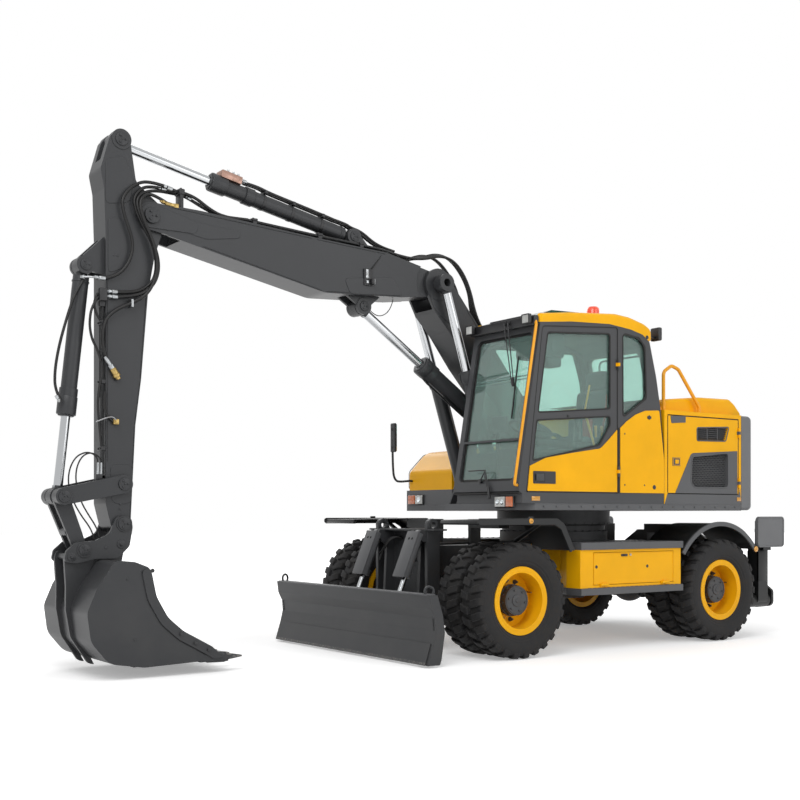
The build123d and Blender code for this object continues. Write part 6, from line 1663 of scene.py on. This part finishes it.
def studio_floor(look):
    """White studio paper: plain, matt, showing the shadow under the machine and fading to white round it."""
    material, tree, shader, place = blank("studio_paper")
    grain = noise(tree, place, 12, 2.0)
    tone = two_tone(tree, grain.outputs["Fac"], rgba(linear("#F4F4F4")), rgba(linear("#FAFAFA")))
    tree.links.new(tone, shader.inputs["Base Color"])
    shader.inputs["Roughness"].default_value = 0.9
    shader.inputs["Specular IOR Level"].default_value = 0.0
    path = add(tree, "ShaderNodeLightPath")
    seen = add(tree, "ShaderNodeMath", {0: path.outputs["Is Camera Ray"], 1: path.outputs["Is Glossy Ray"]}, operation="MAXIMUM")
    seen = add(tree, "ShaderNodeMath", {0: seen.outputs[0], 1: path.outputs["Is Transmission Ray"]}, operation="MAXIMUM")
    away = add(tree, "ShaderNodeVectorMath", {0: place, 1: (0.18, 0.3, 1.0)}, operation="MULTIPLY").outputs["Vector"]
    reach = add(tree, "ShaderNodeVectorMath", {0: away}, operation="LENGTH").outputs["Value"]
    lift = spread(tree, reach, 0.55, 1.9, look.floor_lift, 1.0)
    glow = product(tree, seen.outputs[0], lift)
    tree.links.new(tone, shader.inputs["Emission Color"])
    tree.links.new(glow, shader.inputs["Emission Strength"])
    return material


# ---------------------------------------------------------------- settings, operators and panel
def tint(label, text, code):
    return bpy.props.FloatVectorProperty(name=label, description=text, default=linear(code), subtype="COLOR", size=3, min=0, max=1)


def span(label, text, millimetres, low=0.1, high=3000):
    return bpy.props.FloatProperty(name=label, description=text, default=millimetres * MM, min=low * MM, max=high * MM,
                                   subtype="DISTANCE", unit="LENGTH")


class ExcavatorColours(bpy.types.PropertyGroup):
    yellow: tint("Yellow", "Enamel of the panels and wheels", "#F7B40A")
    charcoal: tint("Charcoal", "Enamel of the boom, arm, bucket and blade", "#343537")
    graphite: tint("Graphite", "Enamel of the cab frame and the platform's edge", "#57585A")
    frame: tint("Frame", "Enamel of the cab's door and frame", "#414244")
    grey: tint("Grey", "Enamel of the counterweight and outrigger pads", "#6E6F71")
    black: tint("Black", "Enamel of the fenders, outriggers and brackets", "#1C1D1E")
    rail: tint("Rail", "Enamel of the grab bars", "#EFA51E")


class ExcavatorSizes(bpy.types.PropertyGroup):
    lug_count: bpy.props.IntProperty(name="Lugs", description="Lugs round one side of a tyre", default=26, min=12, max=40)
    lug_depth: span("Lug depth", "How far the lugs stand off the tyre's body", 24)
    lug_width: span("Lug width", "Width of a lug along the tread", 66)
    hose: span("Hose radius", "Radius of the main hydraulic hoses", 13)
    thin_hose: span("Thin hose radius", "Radius of the pilot and attachment hoses", 8)
    pipe: span("Pipe radius", "Radius of the steel pipes on the boom", 11)
    mesh_pitch: span("Mesh pitch", "Distance between the holes of the grille mesh", 21)


class ExcavatorStage(bpy.types.PropertyGroup):
    sky: bpy.props.FloatProperty(name="Sky", description="Even light from all round", default=0.54, min=0, max=2)
    key: bpy.props.FloatProperty(name="Key", description="Soft box ahead and above", default=500, min=0, subtype="POWER", unit="POWER")
    fill: bpy.props.FloatProperty(name="Fill", description="Soft box on the left", default=190, min=0, subtype="POWER", unit="POWER")
    back: bpy.props.FloatProperty(name="Back", description="Soft box behind", default=190, min=0, subtype="POWER", unit="POWER")
    floor_lift: bpy.props.FloatProperty(name="Floor lift", description="How much the paper near the machine is lifted to white", default=0.34,
                                        min=0, max=1)


class EXCAVATOR_OT_stage(bpy.types.Operator):
    """Sets the camera, the studio paper and the lamps"""
    bl_idname = "excavator.stage"
    bl_label = "Stage"

    def execute(self, context):
        set_stage(context.scene.excavator_stage)
        return {"FINISHED"}


class EXCAVATOR_OT_finishes(bpy.types.Operator):
    """Mixes the paints, rubbers, metals, plastics and glass"""
    bl_idname = "excavator.finishes"
    bl_label = "Finishes"

    def execute(self, context):
        mix_finishes(context.scene.excavator_colours)
        return {"FINISHED"}


class EXCAVATOR_OT_coats(bpy.types.Operator):
    """Paints the frame, the upper structure and the boom"""
    bl_idname = "excavator.coats"
    bl_label = "Paint"

    def execute(self, context):
        coat_frame()
        coat_upper()
        coat_boom()
        return {"FINISHED"}


class EXCAVATOR_OT_tyres(bpy.types.Operator):
    """Moulds the eight lugged tyres"""
    bl_idname = "excavator.tyres"
    bl_label = "Tyres"

    def execute(self, context):
        fit_tyres(context.scene.excavator_sizes)
        return {"FINISHED"}


class EXCAVATOR_OT_wheels(bpy.types.Operator):
    """Fits the wheel nuts, hub covers and valves"""
    bl_idname = "excavator.wheels"
    bl_label = "Wheel fastenings"

    def execute(self, context):
        fit_wheel_fastenings()
        return {"FINISHED"}


class EXCAVATOR_OT_toolbox(bpy.types.Operator):
    """Fits the toolbox latch, key and plugs"""
    bl_idname = "excavator.toolbox"
    bl_label = "Toolbox"

    def execute(self, context):
        trim_toolbox()
        return {"FINISHED"}


class EXCAVATOR_OT_undercarriage(bpy.types.Operator):
    """Fits the ring bolts, step grips, reflectors and brake lines"""
    bl_idname = "excavator.undercarriage"
    bl_label = "Undercarriage"

    def execute(self, context):
        trim_undercarriage()
        return {"FINISHED"}


class EXCAVATOR_OT_blade(bpy.types.Operator):
    """Fits the blade's edge, welds, guards and hoses"""
    bl_idname = "excavator.blade"
    bl_label = "Blade"

    def execute(self, context):
        trim_blade()
        return {"FINISHED"}


class EXCAVATOR_OT_outriggers(bpy.types.Operator):
    """Fits the outriggers' pins, pad rims, lamps and hoses"""
    bl_idname = "excavator.outriggers"
    bl_label = "Outriggers"

    def execute(self, context):
        trim_outriggers()
        return {"FINISHED"}


class EXCAVATOR_OT_seals(bpy.types.Operator):
    """Fits the rubber seals round the panes and the door"""
    bl_idname = "excavator.seals"
    bl_label = "Window seals"

    def execute(self, context):
        fit_seals()
        fit_blind()
        return {"FINISHED"}


class EXCAVATOR_OT_wipers(bpy.types.Operator):
    """Fits the wipers on the windscreen"""
    bl_idname = "excavator.wipers"
    bl_label = "Wipers"

    def execute(self, context):
        fit_wipers()
        return {"FINISHED"}


class EXCAVATOR_OT_door_handle(bpy.types.Operator):
    """Fits the door handle, pane latch, plugs and screws"""
    bl_idname = "excavator.door_handle"
    bl_label = "Door furniture"

    def execute(self, context):
        fit_door_handle()
        return {"FINISHED"}


class EXCAVATOR_OT_lamps(bpy.types.Operator):
    """Fits the roof beam with its work lamps, the headlights and reflectors"""
    bl_idname = "excavator.lamps"
    bl_label = "Lamps"

    def execute(self, context):
        fit_lamps()
        return {"FINISHED"}


class EXCAVATOR_OT_beacon(bpy.types.Operator):
    """Fits the rotating beacon on the roof"""
    bl_idname = "excavator.beacon"
    bl_label = "Beacon"

    def execute(self, context):
        fit_beacon()
        return {"FINISHED"}


class EXCAVATOR_OT_rails(bpy.types.Operator):
    """Bends the grab bars and fits the mirror on its arm"""
    bl_idname = "excavator.rails"
    bl_label = "Rails and mirror"

    def execute(self, context):
        fit_rails()
        return {"FINISHED"}


class EXCAVATOR_OT_seat(bpy.types.Operator):
    """Builds the suspension seat with its consoles and belt"""
    bl_idname = "excavator.seat"
    bl_label = "Seat"

    def execute(self, context):
        fit_seat()
        return {"FINISHED"}


class EXCAVATOR_OT_controls(bpy.types.Operator):
    """Fits the steering column, monitor, mat and inner handle"""
    bl_idname = "excavator.controls"
    bl_label = "Controls"

    def execute(self, context):
        fit_controls()
        return {"FINISHED"}


class EXCAVATOR_OT_engine_side(bpy.types.Operator):
    """Fits the grilles, latches and plates of the engine doors"""
    bl_idname = "excavator.engine_side"
    bl_label = "Engine side"

    def execute(self, context):
        trim_engine_side(context.scene.excavator_sizes)
        return {"FINISHED"}


class EXCAVATOR_OT_tail(bpy.types.Operator):
    """Fits the tail lamps, plugs, hood seal and louvres"""
    bl_idname = "excavator.tail"
    bl_label = "Tail"

    def execute(self, context):
        trim_tail()
        return {"FINISHED"}


class EXCAVATOR_OT_right_side(bpy.types.Operator):
    """Fits the filler cap, grips, seams and skirt screws"""
    bl_idname = "excavator.right_side"
    bl_label = "Right side"

    def execute(self, context):
        trim_right_side()
        return {"FINISHED"}


class EXCAVATOR_OT_pin_caps(bpy.types.Operator):
    """Fits the covers on the pins of the boom, arm and linkage"""
    bl_idname = "excavator.pin_caps"
    bl_label = "Pin caps"

    def execute(self, context):
        fit_pin_caps()
        return {"FINISHED"}


class EXCAVATOR_OT_doublers(bpy.types.Operator):
    """Welds the doubler plates and seams on the boom and arm"""
    bl_idname = "excavator.doublers"
    bl_label = "Doubler plates"

    def execute(self, context):
        fit_reinforcements()
        return {"FINISHED"}


class EXCAVATOR_OT_cylinder_heads(bpy.types.Operator):
    """Fits the glands, ports and hoses of the cylinders"""
    bl_idname = "excavator.cylinder_heads"
    bl_label = "Cylinder heads"

    def execute(self, context):
        fit_cylinder_heads()
        return {"FINISHED"}


class EXCAVATOR_OT_boom_lines(bpy.types.Operator):
    """Runs the pipes on the boom and the hoses on to the arm"""
    bl_idname = "excavator.boom_lines"
    bl_label = "Boom lines"

    def execute(self, context):
        fit_boom_lines(context.scene.excavator_sizes)
        return {"FINISHED"}


class EXCAVATOR_OT_knee_hoses(bpy.types.Operator):
    """Runs the hoses over the boom's knee and foot"""
    bl_idname = "excavator.knee_hoses"
    bl_label = "Knee hoses"

    def execute(self, context):
        fit_knee_hoses(context.scene.excavator_sizes)
        return {"FINISHED"}


class EXCAVATOR_OT_arm_lines(bpy.types.Operator):
    """Runs the pipes and hoses down the arm"""
    bl_idname = "excavator.arm_lines"
    bl_label = "Arm lines"

    def execute(self, context):
        fit_arm_lines(context.scene.excavator_sizes)
        return {"FINISHED"}


class EXCAVATOR_OT_coupler(bpy.types.Operator):
    """Fits the coupler's lock and the link's stiffener"""
    bl_idname = "excavator.coupler"
    bl_label = "Quick coupler"

    def execute(self, context):
        fit_coupler()
        return {"FINISHED"}


class EXCAVATOR_OT_bucket(bpy.types.Operator):
    """Fits the tooth adapters, shrouds, bolts and welds"""
    bl_idname = "excavator.bucket"
    bl_label = "Bucket"

    def execute(self, context):
        trim_bucket()
        return {"FINISHED"}


STEPS = (
    EXCAVATOR_OT_stage,
    EXCAVATOR_OT_finishes,
    EXCAVATOR_OT_coats,
    EXCAVATOR_OT_tyres,
    EXCAVATOR_OT_wheels,
    EXCAVATOR_OT_toolbox,
    EXCAVATOR_OT_undercarriage,
    EXCAVATOR_OT_blade,
    EXCAVATOR_OT_outriggers,
    EXCAVATOR_OT_seals,
    EXCAVATOR_OT_wipers,
    EXCAVATOR_OT_door_handle,
    EXCAVATOR_OT_lamps,
    EXCAVATOR_OT_beacon,
    EXCAVATOR_OT_rails,
    EXCAVATOR_OT_seat,
    EXCAVATOR_OT_controls,
    EXCAVATOR_OT_engine_side,
    EXCAVATOR_OT_tail,
    EXCAVATOR_OT_right_side,
    EXCAVATOR_OT_pin_caps,
    EXCAVATOR_OT_doublers,
    EXCAVATOR_OT_cylinder_heads,
    EXCAVATOR_OT_boom_lines,
    EXCAVATOR_OT_knee_hoses,
    EXCAVATOR_OT_arm_lines,
    EXCAVATOR_OT_coupler,
    EXCAVATOR_OT_bucket,
)


class EXCAVATOR_PT_panel(bpy.types.Panel):
    """Lists the sizes, the colours and the steps"""
    bl_label = "Excavator"
    bl_idname = "EXCAVATOR_PT_panel"
    bl_space_type = "VIEW_3D"
    bl_region_type = "UI"
    bl_category = "Excavator"

    def draw(self, context):
        for group in (context.scene.excavator_colours, context.scene.excavator_sizes, context.scene.excavator_stage):
            for name in group.bl_rna.properties.keys():
                if name not in ("rna_type", "name"):
                    self.layout.prop(group, name)
        for step in STEPS:
            self.layout.operator(step.bl_idname)


CLASSES = (ExcavatorColours, ExcavatorSizes, ExcavatorStage, *STEPS, EXCAVATOR_PT_panel)


def register():
    for cls in CLASSES:
        bpy.utils.register_class(cls)
    bpy.types.Scene.excavator_colours = bpy.props.PointerProperty(type=ExcavatorColours)
    bpy.types.Scene.excavator_sizes = bpy.props.PointerProperty(type=ExcavatorSizes)
    bpy.types.Scene.excavator_stage = bpy.props.PointerProperty(type=ExcavatorStage)


def unregister():
    del bpy.types.Scene.excavator_stage
    del bpy.types.Scene.excavator_sizes
    del bpy.types.Scene.excavator_colours
    for cls in reversed(CLASSES):
        bpy.utils.unregister_class(cls)


def main():
    register()
    for step in STEPS:
        group, call = step.bl_idname.split(".")
        getattr(getattr(bpy.ops, group), call)()


if __name__ == "__main__":
    main()
